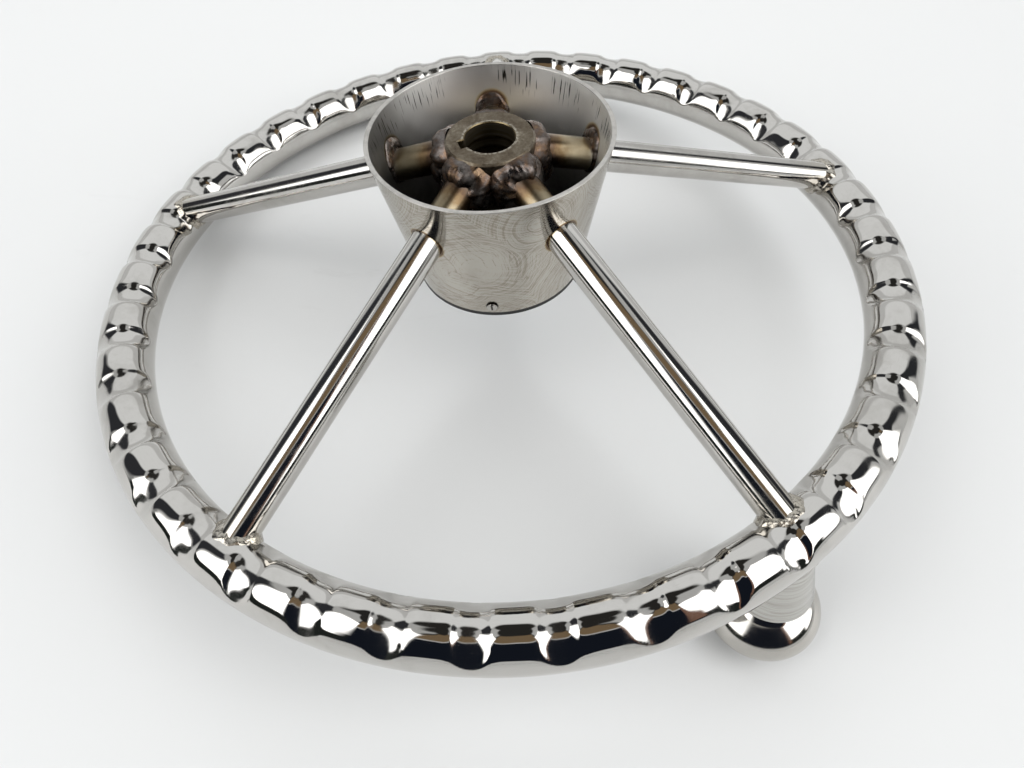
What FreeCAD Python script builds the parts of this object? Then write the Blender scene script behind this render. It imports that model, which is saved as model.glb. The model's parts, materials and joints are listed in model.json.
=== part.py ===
import FreeCAD, Part
import math
import os
import Sketcher

# A five-spoke stainless boat steering wheel with a finger-grip rim and a spinner knob.
# Millimetres. The origin is the middle of the boss's helm-side face, at the mouth of the shaft bore.
# +Z runs up the shaft bore towards the helm, so the driver's side and the knob are at -Z.

SIZES = {
    # Rim: one round tube, bent to a ring, with finger grips pressed into its helm side
    "rim_outside_diameter": 343.0,
    "rim_tube_diameter": 22.2,
    "rim_drop": 71.0,
    "grips_between_spokes": 8,
    "grip_width": 10.6,
    "grip_depth": 1.7,
    "grip_start_angle": 22.0,
    "grip_end_angle": 148.0,
    # Spokes: round tubes from the boss down to the rim
    "spoke_count": 5,
    "first_spoke_azimuth": 90.0,
    "spoke_diameter": 12.7,
    "spoke_wall": 1.2,
    "spoke_drop_at_boss": 10.3,
    "spoke_rise_at_rim": 3.1,
    "spoke_set_in": 6.0,
    # Boss: turned, with a keyed shaft bore
    "boss_diameter": 34.0,
    "boss_length": 36.0,
    "boss_chamfer": 0.8,
    "shaft_bore_diameter": 19.05,
    "keyway_width": 4.76,
    "keyway_depth": 2.4,
    # Hub cone: a thin tapered shell that the spokes pass through
    "cone_lip_diameter": 93.0,
    "cone_lip_height": 2.8,
    "cone_bottom_diameter": 68.2,
    "cone_height": 61.3,
    "cone_wall": 1.8,
    "cone_hole_clearance": 0.05,
    # Centre cap: a moulded cover that closes the driver's side of the cone
    "cap_flange": 2.0,
    "cap_dome": 5.0,
    "cap_wall": 2.0,
    "cap_skirt_height": 10.0,
    "cap_clearance": 0.2,
    # Cap screws: pan heads, through the cone into the cap's skirt
    "cap_screw_count": 3,
    "cap_screw_azimuth": 265.0,
    "cap_screw_height": 4.6,
    "cap_screw_diameter": 2.5,
    "cap_screw_length": 6.0,
    "cap_screw_head_diameter": 4.4,
    "cap_screw_head_height": 1.2,
    "cap_screw_head_round": 0.8,
    "cap_screw_slot": 0.7,
    "cap_screw_hole_clearance": 0.1,
    # Spinner knob: a flattened ball that turns on a spindle welded under the rim, just beside its spoke
    "knob_spoke": 4,
    "knob_lag_angle": 0.5,
    "knob_diameter": 42.4,
    "knob_half_height": 13.7,
    "knob_shoulder_angle": 29.5,
    "knob_face_diameter": 17.0,
    "knob_end_diameter": 19.0,
    "knob_play": 0.3,
    "spindle_neck_diameter": 21.0,
    "spindle_collar_diameter": 30.2,
    "spindle_collar_height": 22.0,
    "spindle_diameter": 10.0,
    "bush_wall": 1.0,
    "bush_flange_diameter": 13.0,
    "bush_flange_thickness": 1.5,
    "bush_clearance": 0.05,
    "knob_pocket_diameter": 14.4,
    "knob_pocket_depth": 8.0,
    "washer_diameter": 13.0,
    "washer_thickness": 1.5,
    "knob_screw_diameter": 6.0,
    "knob_screw_length": 12.0,
    "knob_screw_head_diameter": 10.5,
    "knob_screw_head_height": 3.3,
    "knob_screw_socket": 4.0,
    "knob_screw_socket_depth": 2.0,
    # Welds: the leg stands out from the rod, and the root and the length run along it both ways
    "boss_weld_leg": 3.0,
    "boss_weld_root": 8.5,
    "boss_weld_length": 5.5,
    "wall_weld_leg": 2.6,
    "wall_weld_length": 3.4,
    "wall_weld_rise": 2.1,
    "rim_weld_leg": 1.9,
    "rim_weld_root": 7.8,
    "rim_weld_length": 3.8,
    "knob_weld_leg": 1.6,
    "knob_weld_root": 5.5,
    "knob_weld_length": 2.2,
    "weld_toe": 0.3,
}

doc = FreeCAD.newDocument("boat_steering_wheel")
sheet = doc.addObject("Spreadsheet::Sheet", "sizes")
for row, (name, number) in enumerate(SIZES.items(), start=1):
    sheet.set("A" + str(row), name)
    sheet.set("B" + str(row), str(number))
    sheet.setAlias("B" + str(row), name)
doc.recompute()

Vector = FreeCAD.Vector
ORIGIN = Vector(0, 0, 0)
AXIS_X = Vector(1, 0, 0)
AXIS_Y = Vector(0, 1, 0)
AXIS_Z = Vector(0, 0, 1)

# Sheet expressions that more than one piece needs
RING_RADIUS = "((sizes.rim_outside_diameter - sizes.rim_tube_diameter) / 2)"
BOSS_RADIUS = "(sizes.boss_diameter / 2)"
SPOKE_FALL = "(sizes.rim_drop - sizes.spoke_rise_at_rim - sizes.spoke_drop_at_boss)"
SPOKE_SLOPE = "atan(" + SPOKE_FALL + " / (" + RING_RADIUS + " - " + BOSS_RADIUS + "))"
SPOKE_START = "(" + BOSS_RADIUS + " - sizes.spoke_set_in)"
SPOKE_START_HEIGHT = "(sizes.spoke_set_in * tan(" + SPOKE_SLOPE + ") - sizes.spoke_drop_at_boss)"
SPOKE_RUN = "((" + RING_RADIUS + " - " + SPOKE_START + ") / cos(" + SPOKE_SLOPE + "))"
CONE_BOTTOM = "(sizes.cone_lip_height - sizes.cone_height)"
CAP_BASE = "(" + CONE_BOTTOM + " - sizes.cap_flange)"
CAP_SKIRT_RADIUS = "(sizes.cone_bottom_diameter / 2 - sizes.cone_wall - sizes.cap_clearance)"
CAP_DOME_BASE = CAP_SKIRT_RADIUS
CAP_DOME_RADIUS = "((" + CAP_DOME_BASE + "^2 + sizes.cap_dome^2) / (2 * sizes.cap_dome))"
COLLAR_END = "(-sizes.rim_drop - sizes.rim_tube_diameter / 2 - sizes.spindle_collar_height)"
COLLAR_SPREAD = "((sizes.spindle_collar_diameter - sizes.spindle_neck_diameter) / 2)"
COLLAR_TAPER = "(" + COLLAR_SPREAD + " / sizes.spindle_collar_height)"
KNOB_SHOULDER_RADIUS = "(sizes.knob_diameter / 2 * cos(sizes.knob_shoulder_angle))"
KNOB_TO_SHOULDER = "(sizes.knob_half_height * sin(sizes.knob_shoulder_angle))"
KNOB_STEEPNESS = "(sizes.knob_half_height / (sizes.knob_diameter / 2 * tan(sizes.knob_shoulder_angle)))"
KNOB_SHOULDER_HEIGHT = (
    "((" + KNOB_SHOULDER_RADIUS + " - sizes.knob_face_diameter / 2) * " + KNOB_STEEPNESS + ")"
)
KNOB_TO_END = "(sizes.knob_half_height * sqrt(1 - (sizes.knob_end_diameter / sizes.knob_diameter)^2))"
KNOB_FACE = "(" + COLLAR_END + " - sizes.knob_play)"
KNOB_SHOULDER = "(" + KNOB_FACE + " - " + KNOB_SHOULDER_HEIGHT + ")"
KNOB_MIDDLE = "(" + KNOB_SHOULDER + " - " + KNOB_TO_SHOULDER + ")"
KNOB_END = "(" + KNOB_MIDDLE + " - " + KNOB_TO_END + ")"
KNOB_SEAT = "(" + KNOB_END + " + sizes.knob_pocket_depth)"
SPINDLE_END = "(" + KNOB_SEAT + " - sizes.knob_play)"
SCREW_SEAT = "(" + SPINDLE_END + " - sizes.washer_thickness)"
BUSH_OUTSIDE = "(sizes.spindle_diameter / 2 + sizes.bush_clearance + sizes.bush_wall)"


def size(alias):
    """The number that the sheet holds under this name."""
    return float(sheet.get(alias))


def spoke_azimuth(number):
    """Azimuth in degrees of a spoke, counted from 1."""
    return size("first_spoke_azimuth") + (number - 1) * 360.0 / size("spoke_count")


def ring_radius():
    """Radius of the circle that the rim tube's middle follows."""
    return (size("rim_outside_diameter") - size("rim_tube_diameter")) / 2


def spoke_slope():
    """Angle in radians by which the spokes fall towards the rim."""
    fall = size("rim_drop") - size("spoke_rise_at_rim") - size("spoke_drop_at_boss")
    return math.atan(fall / (ring_radius() - size("boss_diameter") / 2))


def spoke_line(distance):
    """The point on a spoke's middle line at a horizontal distance from the wheel's axis."""
    start = size("boss_diameter") / 2 * math.tan(spoke_slope()) - size("spoke_drop_at_boss")
    return Vector(distance, 0, start - distance * math.tan(spoke_slope()))


def turned(azimuth):
    """The placement that turns a piece made along +X to an azimuth."""
    return FreeCAD.Placement(ORIGIN, FreeCAD.Rotation(AXIS_Z, azimuth))


def primitive(kind, name, **expressions):
    """A Part primitive whose properties follow the sheet."""
    item = doc.addObject("Part::" + kind, name)
    for key, expression in expressions.items():
        item.setExpression(key, expression)
    return item


def lifted(item, expression):
    """Puts an object at a height that follows the sheet."""
    item.setExpression("Placement.Base.z", expression)
    return item


def cut(name, base, tool):
    """The base object with the tool object taken away."""
    item = doc.addObject("Part::Cut", name)
    item.Base = base
    item.Tool = tool
    return item


def fused(name, pieces):
    """Several objects joined into one."""
    item = doc.addObject("Part::MultiFuse", name)
    item.Shapes = pieces
    return item


def grouped(name, pieces):
    """Several objects kept side by side, to cut with."""
    item = doc.addObject("Part::Compound", name)
    item.Links = pieces
    return item


def placed(name, shape, placement=None):
    """A sub-part that has a shape worked out here, and its place."""
    item = doc.addObject("Part::Feature", name)
    item.Shape = shape
    if placement is not None:
        item.Placement = placement
    return item


def along_spoke(item):
    """Turns an upright object so that it lies along a spoke made towards +X."""
    item.Placement = FreeCAD.Placement(ORIGIN, FreeCAD.Rotation(AXIS_Y, 90.0))
    item.setExpression("Placement.Rotation.Angle", "90 deg + " + SPOKE_SLOPE)
    item.setExpression("Placement.Base.x", SPOKE_START)
    return lifted(item, SPOKE_START_HEIGHT)


# Forms that several pieces are fitted to
rim_blank = lifted(
    primitive("Torus", "rim_blank", Radius1=RING_RADIUS, Radius2="sizes.rim_tube_diameter / 2"),
    "-sizes.rim_drop",
)
boss_blank = lifted(
    primitive("Cylinder", "boss_blank", Radius=BOSS_RADIUS, Height="sizes.boss_length"),
    "-sizes.boss_length",
)
spoke_rod = along_spoke(
    primitive(
        "Cylinder",
        "spoke_rod",
        Radius="sizes.spoke_diameter / 2",
        Height=SPOKE_RUN,
    )
)
cone_bore = lifted(
    primitive(
        "Cone",
        "cone_bore",
        Radius1="sizes.cone_bottom_diameter / 2 - sizes.cone_wall",
        Radius2="sizes.cone_lip_diameter / 2 - sizes.cone_wall",
        Height="sizes.cone_height",
    ),
    CONE_BOTTOM,
)
collar_blank = lifted(
    primitive(
        "Cone",
        "collar_blank",
        Radius1="sizes.spindle_collar_diameter / 2",
        Radius2="sizes.spindle_neck_diameter / 2 - sizes.rim_tube_diameter / 2 * " + COLLAR_TAPER,
        Height="sizes.spindle_collar_height + sizes.rim_tube_diameter / 2",
    ),
    COLLAR_END,
)
collar_blank.setExpression("Placement.Base.x", RING_RADIUS)
doc.recompute()


def rim_section(azimuth, depth):
    """The rim tube's outline at an azimuth: a circle whose helm side is pressed in by a depth."""
    tube = size("rim_tube_diameter") / 2
    start = size("grip_start_angle")
    end = size("grip_end_angle")
    middle = (start + end) / 2

    def point(angle, radius):
        turn = math.radians(angle)
        out = ring_radius() + radius * math.cos(turn)
        up = radius * math.sin(turn) - size("rim_drop")
        return FreeCAD.Rotation(AXIS_Z, azimuth).multVec(Vector(out, 0, up))

    first = point(start, tube)
    last = point(end, tube)
    helm_side = Part.Arc(first, point(middle, tube - depth), last)
    driver_side = Part.Arc(last, point(middle + 180, tube), first)
    return Part.Wire([helm_side.toShape(), driver_side.toShape()])


def rim():
    """The rim ring: a pressed grip and the plain pillow beside it, repeated round the ring."""
    stations = 5
    grips = round(size("grips_between_spokes") * size("spoke_count"))
    pitch = 360.0 / grips
    half_grip = math.degrees(size("grip_width") / 2 / ring_radius())
    first = spoke_azimuth(1) + pitch / 2
    sections = []
    for station in range(stations):
        along = 2.0 * station / (stations - 1) - 1
        depth = size("grip_depth") * (1 - along**2)
        sections.append(rim_section(first + along * half_grip, depth))
    grip = Part.makeLoft(sections, True)
    pillow = Part.Face(sections[-1]).revolve(ORIGIN, AXIS_Z, pitch - 2 * half_grip)
    skin = []
    for piece in (grip, pillow):
        skin += [face for face in piece.Faces if face.Surface.TypeId != "Part::GeomPlane"]
    ring = Part.makeCompound([f.rotated(ORIGIN, AXIS_Z, pitch * i) for i in range(grips) for f in skin])
    ring.sewShape()
    return placed("rim", Part.Solid(ring.Shells[0]))


def spokes():
    """The spokes: tubes shaped at both ends to the round boss and the round rim."""
    void = along_spoke(
        primitive(
            "Cylinder",
            "spoke_void",
            Radius="sizes.spoke_diameter / 2 - sizes.spoke_wall",
            Height=SPOKE_RUN,
        )
    )
    tube = cut("spoke_tube", spoke_rod, void)
    at_boss = cut("spoke_at_boss", tube, boss_blank)
    form = cut("spoke_form", at_boss, rim_blank)
    doc.recompute()
    pieces = []
    for number in range(1, round(size("spoke_count")) + 1):
        pieces.append(placed("spoke_" + str(number), form.Shape.copy(), turned(spoke_azimuth(number))))
    return pieces


def origin_plane(body, role):
    """One of a body's own origin planes."""
    return next(item for item in body.Origin.OriginFeatures if item.Role == role)


def sketch_on(body, name, role="XY_Plane"):
    """A new sketch on one of a body's origin planes."""
    sketch = body.newObject("Sketcher::SketchObject", name)
    sketch.AttachmentSupport = [(origin_plane(body, role), "")]
    sketch.MapMode = "FlatFace"
    return sketch


def add_circle(sketch, expression):
    """A circle round the sketch's origin, with its diameter from the sheet."""
    circle = sketch.addGeometry(Part.Circle(ORIGIN, AXIS_Z, 5.0))
    sketch.addConstraint(Sketcher.Constraint("Coincident", circle, 3, -1, 1))
    bound = sketch.addConstraint(Sketcher.Constraint("Diameter", circle, 10.0))
    sketch.setExpression("Constraints[" + str(bound) + "]", expression)


def hub_boss():
    """The turned boss with its shaft bore, keyway and outer chamfers."""
    body = doc.addObject("PartDesign::Body", "hub_boss")
    outline = sketch_on(body, "boss_outline")
    add_circle(outline, "sizes.boss_diameter")
    pad = body.newObject("PartDesign::Pad", "boss_pad")
    pad.Profile = outline
    pad.Reversed = True
    pad.setExpression("Length", "sizes.boss_length")
    doc.recompute()
    rims = []
    for number, edge in enumerate(pad.Shape.Edges, start=1):
        if edge.isClosed():
            rims.append("Edge" + str(number))
    chamfer = body.newObject("PartDesign::Chamfer", "boss_chamfers")
    chamfer.Base = (pad, rims)
    chamfer.setExpression("Size", "sizes.boss_chamfer")
    doc.recompute()
    bore_outline = sketch_on(body, "bore_outline")
    add_circle(bore_outline, "sizes.shaft_bore_diameter")
    bore = body.newObject("PartDesign::Pocket", "shaft_bore")
    bore.Profile = bore_outline
    bore.Type = "ThroughAll"
    bore.Midplane = True
    key_outline = sketch_on(body, "keyway_outline")
    key_corners = [Vector(0, -2, 0), Vector(12, -2, 0), Vector(12, 2, 0), Vector(0, 2, 0)]
    for number in range(4):
        key_outline.addGeometry(Part.LineSegment(key_corners[number], key_corners[(number + 1) % 4]))
    for number in range(4):
        key_outline.addConstraint(Sketcher.Constraint("Coincident", number, 2, (number + 1) % 4, 1))
    key_outline.addConstraint(Sketcher.Constraint("Horizontal", 0))
    key_outline.addConstraint(Sketcher.Constraint("Vertical", 3))
    key_outline.addConstraint(Sketcher.Constraint("Horizontal", 2))
    key_outline.addConstraint(Sketcher.Constraint("PointOnObject", 3, 1, -2))
    key_outline.addConstraint(Sketcher.Constraint("Symmetric", 1, 1, 1, 2, -1))
    width = key_outline.addConstraint(Sketcher.Constraint("DistanceY", 1, 1, 1, 2, 4.0))
    key_outline.setExpression("Constraints[" + str(width) + "]", "sizes.keyway_width")
    reach = key_outline.addConstraint(Sketcher.Constraint("DistanceX", -1, 1, 1, 1, 12.0))
    key_reach = "sizes.shaft_bore_diameter / 2 + sizes.keyway_depth"
    key_outline.setExpression("Constraints[" + str(reach) + "]", key_reach)
    keyway = body.newObject("PartDesign::Pocket", "keyway")
    keyway.Profile = key_outline
    keyway.Type = "ThroughAll"
    keyway.Midplane = True
    body.Tip = keyway
    body.Placement = turned(spoke_azimuth(2.5))
    return body


def cone_slope():
    """Angle in radians by which the cone's wall leans outwards."""
    spread = (size("cone_lip_diameter") - size("cone_bottom_diameter")) / 2
    return math.atan(spread / size("cone_height"))


def screw_placement(number):
    """Where a cap screw's head seats, square to the cone's wall."""
    height = size("cap_screw_height")
    radius = size("cone_bottom_diameter") / 2 + height * math.tan(cone_slope())
    up = size("cone_lip_height") - size("cone_height") + height
    tilt = FreeCAD.Rotation(AXIS_Y, 90.0 + math.degrees(cone_slope()))
    seat = FreeCAD.Placement(Vector(radius, 0, up), tilt)
    azimuth = size("cap_screw_azimuth") + (number - 1) * 360.0 / size("cap_screw_count")
    return turned(azimuth).multiply(seat)


def screw_holes(name, clearance):
    """One hole for each cap screw, as an object to cut with."""
    holes = []
    reach = size("cap_screw_head_height") + size("cap_screw_length")
    for number in range(1, round(size("cap_screw_count")) + 1):
        hole = primitive(
            "Cylinder",
            name + "_" + str(number),
            Radius="sizes.cap_screw_diameter / 2 + " + clearance,
            Height=str(2 * reach),
        )
        inwards = FreeCAD.Placement(Vector(0, 0, -reach), FreeCAD.Rotation())
        hole.Placement = screw_placement(number).multiply(inwards)
        holes.append(hole)
    return grouped(name, holes)


def hub_cone():
    """The tapered shell, open at both ends, with a round hole for each spoke."""
    outside = lifted(
        primitive(
            "Cone",
            "cone_outside",
            Radius1="sizes.cone_bottom_diameter / 2",
            Radius2="sizes.cone_lip_diameter / 2",
            Height="sizes.cone_height",
        ),
        CONE_BOTTOM,
    )
    shell = cut("cone_shell", outside, cone_bore)
    lean = FreeCAD.Placement(spoke_line(0), FreeCAD.Rotation(AXIS_Y, 90.0 + math.degrees(spoke_slope())))
    holes = []
    for number in range(1, round(size("spoke_count")) + 1):
        hole = primitive(
            "Cylinder",
            "spoke_hole_" + str(number),
            Radius="sizes.spoke_diameter / 2 + sizes.cone_hole_clearance",
            Height=RING_RADIUS,
        )
        hole.Placement = turned(spoke_azimuth(number)).multiply(lean)
        holes.append(hole)
    bored = cut("cone_with_spoke_holes", shell, grouped("spoke_holes", holes))
    return cut("hub_cone", bored, screw_holes("cone_screw_holes", "sizes.cap_screw_hole_clearance"))


def centre_cap():
    """The moulded cap: a flange under the cone, a shallow dome and a skirt inside the cone."""
    flange = lifted(
        primitive(
            "Cylinder",
            "cap_flange",
            Radius="sizes.cone_bottom_diameter / 2",
            Height="sizes.cap_flange",
        ),
        CAP_BASE,
    )
    dome = lifted(
        primitive(
            "Sphere",
            "cap_dome",
            Radius=CAP_DOME_RADIUS,
            Angle1="-90 deg",
            Angle2="-90 deg + asin(" + CAP_DOME_BASE + " / " + CAP_DOME_RADIUS + ")",
        ),
        CAP_BASE + " + " + CAP_DOME_RADIUS + " - sizes.cap_dome",
    )
    skirt = lifted(
        primitive(
            "Cylinder",
            "cap_skirt",
            Radius=CAP_SKIRT_RADIUS,
            Height="sizes.cap_flange + sizes.cap_skirt_height",
        ),
        CAP_BASE,
    )
    solid = fused("cap_solid", [flange, dome, skirt])
    inside = lifted(
        primitive(
            "Cylinder",
            "cap_inside",
            Radius=CAP_SKIRT_RADIUS + " - sizes.cap_wall",
            Height="sizes.cap_dome + sizes.cap_flange + sizes.cap_skirt_height",
        ),
        CAP_BASE + " - sizes.cap_dome",
    )
    floor = lifted(
        primitive("Sphere", "cap_floor", Radius=CAP_DOME_RADIUS + " - sizes.cap_wall"),
        CAP_BASE + " + " + CAP_DOME_RADIUS + " - sizes.cap_dome",
    )
    hollow = doc.addObject("Part::Common", "cap_hollow")
    hollow.Base = inside
    hollow.Tool = floor
    moulding = cut("cap_moulding", solid, hollow)
    return cut("centre_cap", moulding, screw_holes("cap_screw_pilots", "0"))


def cap_screws():
    """The pan-head screws that hold the cap in the cone, made upright and then placed."""
    shank = primitive(
        "Cylinder",
        "screw_shank",
        Radius="sizes.cap_screw_diameter / 2",
        Height="sizes.cap_screw_length",
    )
    lifted(shank, "-sizes.cap_screw_length")
    head = primitive(
        "Cylinder",
        "screw_head_blank",
        Radius="sizes.cap_screw_head_diameter / 2",
        Height="sizes.cap_screw_head_height",
    )
    doc.recompute()
    top = next(
        number
        for number, edge in enumerate(head.Shape.Edges, start=1)
        if edge.isClosed() and edge.BoundBox.ZMin > size("cap_screw_head_height") / 2
    )
    round_head = doc.addObject("Part::Fillet", "screw_head")
    round_head.Base = head
    round_head.Edges = [(top, size("cap_screw_head_round"), size("cap_screw_head_round"))]
    slot = primitive(
        "Box",
        "screw_slot",
        Length="sizes.cap_screw_head_diameter",
        Width="sizes.cap_screw_slot",
        Height="sizes.cap_screw_head_height",
    )
    slot.setExpression("Placement.Base.x", "-sizes.cap_screw_head_diameter / 2")
    slot.setExpression("Placement.Base.y", "-sizes.cap_screw_slot / 2")
    slot.setExpression("Placement.Base.z", "sizes.cap_screw_head_height / 2")
    form = cut("cap_screw_form", fused("screw_blank", [shank, round_head]), slot)
    doc.recompute()
    pieces = []
    for number in range(1, round(size("cap_screw_count")) + 1):
        pieces.append(placed("cap_screw_" + str(number), form.Shape.copy(), screw_placement(number)))
    return pieces


def knob_azimuth():
    """The knob's azimuth, just short of its spoke's."""
    return spoke_azimuth(size("knob_spoke")) - size("knob_lag_angle")


def rod(name, radius, top, bottom):
    """An upright cylinder over the knob's axis between two heights."""
    item = primitive("Cylinder", name, Radius=radius, Height=top + " - " + bottom)
    item.setExpression("Placement.Base.x", RING_RADIUS)
    return lifted(item, bottom)


def at_knob(item):
    """Turns an object made over +X to the knob's azimuth."""
    item.Placement = turned(knob_azimuth())
    return item


def knob_spindle():
    """The fixed spindle: a tapered collar shaped to the rim's underside, and a pin through the knob."""
    pin = rod("spindle_pin", "sizes.spindle_diameter / 2", "-sizes.rim_drop", SPINDLE_END)
    blank = cut("spindle_blank", fused("spindle_bar", [collar_blank, pin]), rim_blank)
    tapping = rod(
        "spindle_tapping",
        "sizes.knob_screw_diameter / 2",
        "(" + SCREW_SEAT + " + sizes.knob_screw_length)",
        SPINDLE_END,
    )
    return at_knob(cut("knob_spindle", blank, tapping))


def knob_body():
    """The knob: a flattened ball under a tapered shoulder, with its bush bore and its screw pocket."""
    ball = primitive(
        "Ellipsoid",
        "knob_ball",
        Radius1="sizes.knob_half_height",
        Radius2="sizes.knob_diameter / 2",
        Angle1="-asin(" + KNOB_TO_END + " / sizes.knob_half_height)",
        Angle2="sizes.knob_shoulder_angle * 1 deg",
    )
    ball.setExpression("Placement.Base.x", RING_RADIUS)
    lifted(ball, KNOB_MIDDLE)
    shoulder = primitive(
        "Cone",
        "knob_shoulder",
        Radius1=KNOB_SHOULDER_RADIUS,
        Radius2="sizes.knob_face_diameter / 2",
        Height=KNOB_SHOULDER_HEIGHT,
    )
    shoulder.setExpression("Placement.Base.x", RING_RADIUS)
    lifted(shoulder, KNOB_SHOULDER)
    blank = fused("knob_blank", [ball, shoulder])
    bore = rod("knob_bore", BUSH_OUTSIDE, KNOB_FACE, KNOB_END)
    recess = rod(
        "knob_recess",
        "sizes.bush_flange_diameter / 2",
        KNOB_FACE,
        "(" + KNOB_FACE + " - sizes.bush_flange_thickness)",
    )
    pocket = rod("knob_pocket", "sizes.knob_pocket_diameter / 2", KNOB_SEAT, KNOB_END)
    return at_knob(cut("knob_body", blank, fused("knob_hollows", [bore, recess, pocket])))


def knob_bush():
    """The flanged bush that the knob turns on."""
    sleeve = rod("bush_sleeve", BUSH_OUTSIDE, KNOB_FACE, KNOB_SEAT)
    flange = rod(
        "bush_flange",
        "sizes.bush_flange_diameter / 2",
        KNOB_FACE,
        "(" + KNOB_FACE + " - sizes.bush_flange_thickness)",
    )
    bore = rod("bush_bore", "sizes.spindle_diameter / 2 + sizes.bush_clearance", KNOB_FACE, KNOB_SEAT)
    return at_knob(cut("knob_bush", fused("bush_blank", [sleeve, flange]), bore))


def knob_washer():
    """The washer that keeps the knob on its spindle."""
    disc = rod("washer_disc", "sizes.washer_diameter / 2", SPINDLE_END, SCREW_SEAT)
    hole = rod("washer_hole", "sizes.knob_screw_diameter / 2", SPINDLE_END, SCREW_SEAT)
    return at_knob(cut("knob_washer", disc, hole))


def knob_screw():
    """The socket-head screw in the end of the spindle."""
    thread = rod(
        "knob_screw_thread",
        "sizes.knob_screw_diameter / 2",
        "(" + SCREW_SEAT + " + sizes.knob_screw_length)",
        SCREW_SEAT,
    )
    head_end = "(" + SCREW_SEAT + " - sizes.knob_screw_head_height)"
    head = rod("knob_screw_head", "sizes.knob_screw_head_diameter / 2", SCREW_SEAT, head_end)
    socket = primitive(
        "Prism",
        "knob_screw_hexagon",
        Circumradius="sizes.knob_screw_socket / sqrt(3)",
        Height="sizes.knob_screw_socket_depth",
    )
    socket.Polygon = 6
    socket.setExpression("Placement.Base.x", RING_RADIUS)
    lifted(socket, head_end)
    return at_knob(cut("knob_screw", fused("knob_screw_blank", [thread, head]), socket))


def weld_collar(foot, toe, rod_radius, leg, base, direction):
    """A collar round a rod: straight from its foot in the joint to the base, then tapered to its toe."""
    side = direction.cross(AXIS_Y)
    wide = side * (rod_radius + leg)
    narrow = side * (rod_radius + size("weld_toe"))
    inner = base - direction * foot
    outer = base + direction * toe
    outline = Part.makePolygon([inner, inner + wide, base + wide, outer + narrow, outer, inner])
    return Part.Face(outline).revolve(base, direction, 360)


def round_the_wheel(shape):
    """Copies of a shape, one at each spoke, as one compound."""
    copies = []
    for number in range(1, round(size("spoke_count")) + 1):
        copy = shape.copy()
        copy.rotate(ORIGIN, AXIS_Z, spoke_azimuth(number))
        copies.append(copy)
    return Part.makeCompound(copies)


def boss_welds():
    """A heavy collar of weld round each spoke on the boss."""
    slope = spoke_slope()
    outward = Vector(math.cos(slope), 0, -math.sin(slope))
    base = spoke_line(size("boss_diameter") / 2)
    collar = weld_collar(
        size("boss_weld_root"),
        size("boss_weld_length"),
        size("spoke_diameter") / 2,
        size("boss_weld_leg"),
        base,
        outward,
    )
    foot = Vector(0, 0, -size("boss_length"))
    boss = Part.makeCylinder(size("boss_diameter") / 2, 2 * size("boss_length"), foot)
    bead = collar.cut([spoke_rod.Shape, boss])
    return placed("boss_welds", round_the_wheel(bead))


def wall_welds():
    """A short bead over each spoke, on the inner wall of the cone."""
    slope = spoke_slope()
    inward = Vector(-math.cos(slope), 0, math.sin(slope))
    lean = math.tan(cone_slope())
    lip = size("cone_lip_diameter") / 2 - size("cone_wall")
    height = size("cone_lip_height")
    rise = size("boss_diameter") / 2 * math.tan(slope) - size("spoke_drop_at_boss")
    reach = (lip - lean * (height - rise)) / (1 + lean * math.tan(slope))
    collar = weld_collar(
        size("wall_weld_length"),
        size("wall_weld_length"),
        size("spoke_diameter") / 2,
        size("wall_weld_leg"),
        spoke_line(reach),
        inward,
    )
    bead = collar.common(cone_bore.Shape).cut(spoke_rod.Shape)
    across = 2 * size("spoke_diameter")
    over_spoke = Part.makeBox(reach, across, across)
    over_spoke.translate(Vector(size("boss_diameter") / 2, -across / 2, size("wall_weld_rise")))
    over_spoke.rotate(ORIGIN, AXIS_Y, math.degrees(slope))
    over_spoke.translate(spoke_line(0))
    return placed("wall_welds", round_the_wheel(bead.common(over_spoke)))


def rim_welds():
    """A bead round each spoke on the rim."""
    slope = spoke_slope()
    inward = Vector(-math.cos(slope), 0, math.sin(slope))
    base = spoke_line(ring_radius()) + inward * size("rim_tube_diameter") / 2
    collar = weld_collar(
        size("rim_weld_root"),
        size("rim_weld_length"),
        size("spoke_diameter") / 2,
        size("rim_weld_leg"),
        base,
        inward,
    )
    bead = collar.cut([spoke_rod.Shape, rim_blank.Shape])
    return placed("rim_welds", round_the_wheel(bead))


def knob_weld():
    """The bead round the spindle's collar under the rim."""
    base = Vector(ring_radius(), 0, -size("rim_drop") - size("rim_tube_diameter") / 2)
    ring = weld_collar(
        size("knob_weld_root"),
        size("knob_weld_length"),
        size("spindle_neck_diameter") / 2,
        size("knob_weld_leg"),
        base,
        -AXIS_Z,
    )
    return placed("knob_weld", ring.cut([collar_blank.Shape, rim_blank.Shape]), turned(knob_azimuth()))


sub_parts = [rim(), hub_boss(), hub_cone(), centre_cap()]
sub_parts += spokes()
sub_parts += cap_screws()
sub_parts += [knob_spindle(), knob_body(), knob_bush(), knob_washer(), knob_screw()]
sub_parts += [boss_welds(), wall_welds(), rim_welds(), knob_weld()]
doc.recompute()

for item in doc.Objects:
    if "Invalid" in item.State or "Error" in item.State:
        raise RuntimeError(item.Name + " failed: " + str(item.State))
for item in sub_parts:
    if item.Shape.isNull() or not item.Shape.isValid():
        raise RuntimeError(item.Label + " has no valid shape")

os.makedirs("parts", exist_ok=True)
for item in sub_parts:
    item.Shape.exportStep("parts/" + item.Label + ".step")
    print(item.Label, len(item.Shape.Solids), "solids,", round(item.Shape.Volume), "mm3")
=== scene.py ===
"""Looks for a five-spoke stainless boat steering wheel with a finger-grip rim and a spinner knob.

Metres. The origin is the middle of the boss's helm-side face and +Z runs up the shaft bore.
"""

import json
import logging
import math
from dataclasses import dataclass
from enum import Enum
from functools import reduce
from typing import Callable, Optional, Sequence

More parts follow.
